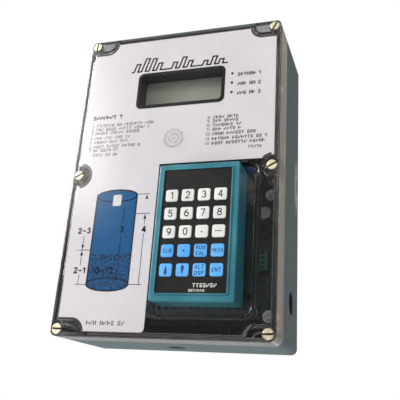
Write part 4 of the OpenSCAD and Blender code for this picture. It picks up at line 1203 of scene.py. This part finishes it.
finishes["tank_blue"] = tank_blue()
finishes["tank_line"] = ink_finish("navy panel ink", shade(3, 16, 32), shade(4, 22, 42), dusty=0.05)
finishes["white_ink"] = ink_finish("white ink", shade(222, 220, 212), shade(236, 234, 228), dusty=0.05,
                                   shine=0.5)
body = np.concatenate([arc((TANK_MIDDLE, TANK_TOP), TANK_RADII, 0, np.pi, 28),
                       arc((TANK_MIDDLE, TANK_BASE), TANK_RADII, np.pi, 2 * np.pi, 28)])
panel_piece("tank", polygon(body), "tank_blue", top=FILM_FRONT)
panel_piece("tank_sensor", polygon(rounded_box(*SENSOR_SIZES) + SENSOR_MIDDLE), "white_ink",
            back=FILM_FRONT, top=SENSOR_FRONT)
panel_piece("tank_outline", tank_outline(), "tank_line")
print("tank from", TANK_TOP, "to", TANK_BASE)

# %% [markdown]
# ### The distances
#
# Thin lines with arrowheads mark off the distances, as in a drawing, and plain numbers name them. The
# marks inside the tank are a piece of their own, because they lie on the film and are navy.

# %% The distances beside the tank
THIN, INNER_LINE = 0.65, 0.9
distance_lines = [
    ((-32.6, -22.0), (-20.0, -22.0)), ((-32.6, -41.5), (-18.0, -41.5)), ((-87.0, -108.6), (-20.0, -108.6)),
    ((-22.8, -44.0), (-22.8, -52.0)), ((-22.6, -61.0), (-22.6, -108.6)),
    ((-89.9, -76.0), (-76.0, -76.0)), ((-84.2, -62.0), (-84.2, -91.0)), ((-84.0, -99.5), (-84.0, -108.6))]
inside_lines = [((-45.2, -33.0), (-45.2, -50.5)), ((-45.4, -62.5), (-45.4, -101.0))]
arrows = [arrow(-22.8, -22.2, False), arrow(-22.8, -41.7, False), arrow(-84.2, -75.8, True),
          arrow(-84.2, -76.2, False)]
codes = [letters("4", 5.2, (-22.6, -56.8), 0.3), letters("2-3", 4.8, (-84.6, -57.0), 0.28),
         letters("2-1", 4.8, (-84.2, -95.4), 0.28)]
panel_piece("distance_lines", join([stroke(ends, THIN) for ends in distance_lines]), "panel_ink")
panel_piece("distance_codes", join(arrows + codes), "panel_ink_dark")
inner_marks = [stroke(ends, INNER_LINE) for ends in inside_lines]
inner_marks += [arrow(-45.4, -106.0, True), arrow(-62.5, -85.5, True),
                letters("3", 5.4, (-45.3, -56.5), 0.24), letters("10-12", 5.2, (-60.4, -95.6), 0.26)]
panel_piece("tank_marks", join(inner_marks), "tank_line")
print("distances:", len(distance_lines), "lines,", len(codes) + 2, "codes")

# %% [markdown]
# ### The painted shadows along the notches
#
# The panel is cut back round the lid's corner wells and middle screws, and along each cut the seal's
# wall leaves a dark line of shade between the panel and the clear wall. That shadow is painted as a
# line of dark ink. It could be a shadow in the shader, but a line that is half its width outside the
# cut is easier to place, and keeps its width from every side.

# %% The painted shadows along the notches
EDGE_WIDE, EDGE_FRONT = 2.2, PANEL_FRONT + 0.05
PANEL_SIDE, PANEL_END = 99.1, 150.6
NOTCH_CENTRE, NOTCH_RADIUS = (85.2, 151.5), 10.5
SCREW_NOTCH, SCREW_NOTCH_RADIUS = 97.9, 11.1


def corner_edge(side, level):
    """A painted shadow line half its width outside a corner notch: a quarter arc, then straight to the side.
    """
    radius = NOTCH_RADIUS + EDGE_WIDE / 2
    start = np.pi + np.arcsin((NOTCH_CENTRE[1] - PANEL_END) / radius)
    curve = arc(NOTCH_CENTRE, radius, start, 1.5 * np.pi, 12)
    straight = [(PANEL_SIDE, NOTCH_CENTRE[1] - radius)]
    path = np.concatenate([curve, straight]) * [side, level]
    return stroke(path if side * level > 0 else path[::-1], EDGE_WIDE)


def screw_edge(side, start, end):
    """A painted shadow line round the notch of a middle screw, between two angles in degrees."""
    radius = SCREW_NOTCH_RADIUS + EDGE_WIDE / 2
    return stroke(arc((side * SCREW_NOTCH, 0), radius, np.radians(start), np.radians(end), 24), EDGE_WIDE)


# Painted shadow: a dark grey ink for the shade along the notches.
finishes["seal_shadow"] = ink_finish("dark seal edge", shade(50, 46, 48), shade(66, 61, 62))
notch_shadows = [corner_edge(-1, 1), corner_edge(1, 1), corner_edge(-1, -1)]
notch_shadows += [screw_edge(-1, -84, 84), screw_edge(1, 95, 138)]
panel_piece("notch_shadows", join(notch_shadows), "seal_shadow", top=EDGE_FRONT)
print("notch edges:", len(notch_shadows))

# %% [markdown]
# ## The display's black rim and the lid's gate mark
#
# The window is edged by a black printed band that hides the front of the hood. The faint rings below
# the display are taken to be the scar of the gate where the lid's plastic entered the mould, a little
# hazy because the flow froze there. Their grey is partly that haze and partly painted shadow, which
# the scar would cast on the panel. They are one thin disc whose opacity depends on the distance from
# its centre.

# %% Rim and gate mark
DISPLAY_MIDDLE, RIM_FRONT = (1.0, 90.8), PANEL_FRONT + 0.08
RIM_OUTER, RIM_INNER, RIM_OFF = (47.0, 20.6, 6.0), (43.7, 17.1, 3.6), 0.4
finishes["rim_black"] = ink_finish("black rim ink", shade(6, 6, 7), shade(10, 10, 11), 0.5, dusty=0.03)
rim_outer = rounded_box(*RIM_OUTER, 10) + DISPLAY_MIDDLE + [RIM_OFF, 0]
rim_inner = rounded_box(*RIM_INNER, 10) + DISPLAY_MIDDLE + [0, RIM_OFF]
panel_piece("display_rim", ring(rim_outer, rim_inner), "rim_black", top=RIM_FRONT)
GATE_MIDDLE, GATE_FRONT, GATE_RADIUS, GATE_THICK = (0.0, 33.8), 104.0, 11.0, 0.02
GATE_BANDS = ((0.0092, 0.0019), (0.0048, 0.0016), (0.0, 0.0030))


def gate_haze():
    """A haze in rings, partly painted shadow: the distance from the middle goes through two soft bands and a
    soft dot.
    """
    material, tree, surface = start_material("gate haze", 0.6)
    place_out = add(tree, "ShaderNodeVectorMath", {
        0: object_place(tree), 1: (GATE_MIDDLE[0] * MM, -GATE_FRONT * MM, GATE_MIDDLE[1] * MM)},
        operation="DISTANCE").outputs["Value"]
    haze_and_shadow = None
    for middle, half in GATE_BANDS:
        off = work_out(tree, "ABSOLUTE", work_out(tree, "SUBTRACT", place_out, middle))
        band = between(tree, off, 0.0, half, 1.0, 0.0)
        haze_and_shadow = band if haze_and_shadow is None else work_out(tree, "MAXIMUM", haze_and_shadow, band)
    uneven = between(tree, noise(tree, 0.006, 3.0), 0.3, 0.7, 0.08, 0.22)
    # Partly painted shadow: the rings' grey also stands for the scar's shadow on the panel.
    surface.inputs["Base Color"].default_value = shade(112, 106, 108)
    tree.links.new(work_out(tree, "MULTIPLY", haze_and_shadow, uneven), surface.inputs["Alpha"])
    return material


finishes["gate_haze"] = gate_haze()
gate = polygon(arc(GATE_MIDDLE, GATE_RADIUS, steps=48))
new_piece("gate_mark", thicken(gate, GATE_FRONT, GATE_FRONT + GATE_THICK), finishes["gate_haze"])
print("rim and gate mark made")

# %% [markdown]
# ## The lid's screws
#
# Six long screws hold the lid. A turned screw shows a small chamfer round its head, a slot that is
# darker the deeper it goes, and a thread that goes round. The head is a round lower part with two half
# moons on it, which leave the slot between them, and the shank's radius follows a triangle wave that
# moves on with the angle, so the ridge climbs like a real thread.

# %% The screws
SCREW_ACROSS, SCREW_UP = 97.9, 149.4
HEAD_TOP, HEAD_DEEP, SLOT_DEEP, SLOT_WIDE = 104.6, 4.0, 1.8, 1.6
HEAD_RADIUS, HEAD_CHAMFER, SLOT_FLARE, FOOT_CHAMFER = 4.8, 0.35, 0.08, (0.15, 0.2)
SHANK_RADIUS, SHANK_END, TIP_LONG, TIP_SHARE = 2.9, 61.6, 1.2, 0.4
THREAD_PITCH, THREAD_DEEP, THREAD_STEP = 1.0, 0.32, 0.25
SLOT_FADE, SCREW_CREASE = (-0.1043, -0.1034), 35
SCREW_TURNS = {(-1, -1): 0, (-1, 0): 27, (-1, 1): 86, (1, -1): 2, (1, 0): 28, (1, 1): 63}


def round_rings(rows, steps=40):
    """Rings on the screw's axis, from rows of radius and distance out."""
    turn = np.linspace(0, 2 * np.pi, steps, endpoint=False)
    flat = np.stack([np.cos(turn), np.sin(turn)], axis=1)
    return np.stack([place(*(flat * radius).T, out) for radius, out in rows])


def half_moon(turn):
    """Half of the head beside the slot, with a chamfer: the chord and arc drawn in at the top."""
    chord_away = SLOT_WIDE / 2
    rows = [(HEAD_RADIUS, chord_away, HEAD_TOP - SLOT_DEEP),
            (HEAD_RADIUS, chord_away, HEAD_TOP - HEAD_CHAMFER),
            (HEAD_RADIUS - HEAD_CHAMFER, chord_away + SLOT_FLARE, HEAD_TOP)]
    rings = []
    for radius, chord, out in rows:
        start = np.arcsin(chord / radius)
        outline = arc((0, 0), radius, start, np.pi - start, 21)
        cos, sin = np.cos(turn), np.sin(turn)
        rings.append(place(*(outline @ [[cos, sin], [-sin, cos]]).T, out))
    return loft(np.stack(rings))


def thread_rings():
    """The shank: at each height and angle the radius is less by a triangle wave of both."""
    turn = np.linspace(0, 2 * np.pi, 20, endpoint=False)
    out = np.arange(SHANK_END, HEAD_TOP - HEAD_DEEP, THREAD_STEP)[:, None]
    wave = np.abs((out / THREAD_PITCH + turn / (2 * np.pi)) % 1 - 0.5) * 2
    tip = np.clip((out - SHANK_END) / TIP_LONG, TIP_SHARE, 1.0)
    radius = (SHANK_RADIUS - THREAD_DEEP * wave) * tip
    points = place(radius * np.cos(turn), radius * np.sin(turn), out)
    return points.reshape(len(out), len(turn), 3)


def screw_metal():
    """Plated brass that is darker the deeper a point lies in the slot."""
    material = metal("slotted screw brass", shade(222, 214, 190), shade(190, 178, 144), 0.46)
    tree = material.node_tree
    tone = tree.nodes["Principled BSDF"].inputs["Base Color"]
    apart = add(tree, "ShaderNodeSeparateXYZ", {0: object_place(tree)}).outputs
    depth = between(tree, apart["Y"], *SLOT_FADE, 0.0, 0.92)
    # The slot is darker towards its floor.
    slot_darkening = blend_colour(tree, depth, tone.links[0].from_socket, shade(50, 42, 26))
    tree.links.new(slot_darkening, tone)
    return material


finishes["screw_metal"] = screw_metal()
screws = []
head_rows = [(HEAD_RADIUS - FOOT_CHAMFER[0], HEAD_TOP - HEAD_DEEP),
             (HEAD_RADIUS, HEAD_TOP - HEAD_DEEP + FOOT_CHAMFER[1]), (HEAD_RADIUS, HEAD_TOP - SLOT_DEEP)]
for (side, level), degrees in SCREW_TURNS.items():
    turn = np.radians(degrees)
    head = loft(round_rings(head_rows))
    parts = [head, half_moon(turn), half_moon(turn + np.pi), loft(thread_rings())]
    shift = place(side * SCREW_ACROSS, level * SCREW_UP, 0.0)
    screws += [(points + shift, faces) for points, faces in parts]
screw_piece = new_piece("lid_screw_set", join(screws), finishes["screw_metal"], smooth=True)
screw_piece.data.set_sharp_from_angle(angle=np.radians(SCREW_CREASE))
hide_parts("lid_screws")
print("screws:", len(SCREW_TURNS), "with", len(screw_piece.data.polygons), "faces")

# %% [markdown]
# ## The marks on the handset
#
# Under the keys the black panel has two short rows of plain white marks. They are thin layers of ink,
# as on the front panel, and use the same rows of boxes.

# %% The handset's white marks
HANDSET_FRONT = 117.0
WHITE_BACK, WHITE_FRONT = HANDSET_FRONT + 0.01, HANDSET_FRONT + 0.05
HANDSET_ROWS = ((34.4, 60.4, -112.2, 3.3), (30.9, 48.4, -116.6, 2.2))
white_rows = join([mark_row(*row) for row in HANDSET_ROWS])
new_piece("handset_marks", thicken(white_rows, WHITE_BACK, WHITE_FRONT), finishes["white_ink"])
print("handset marks made")
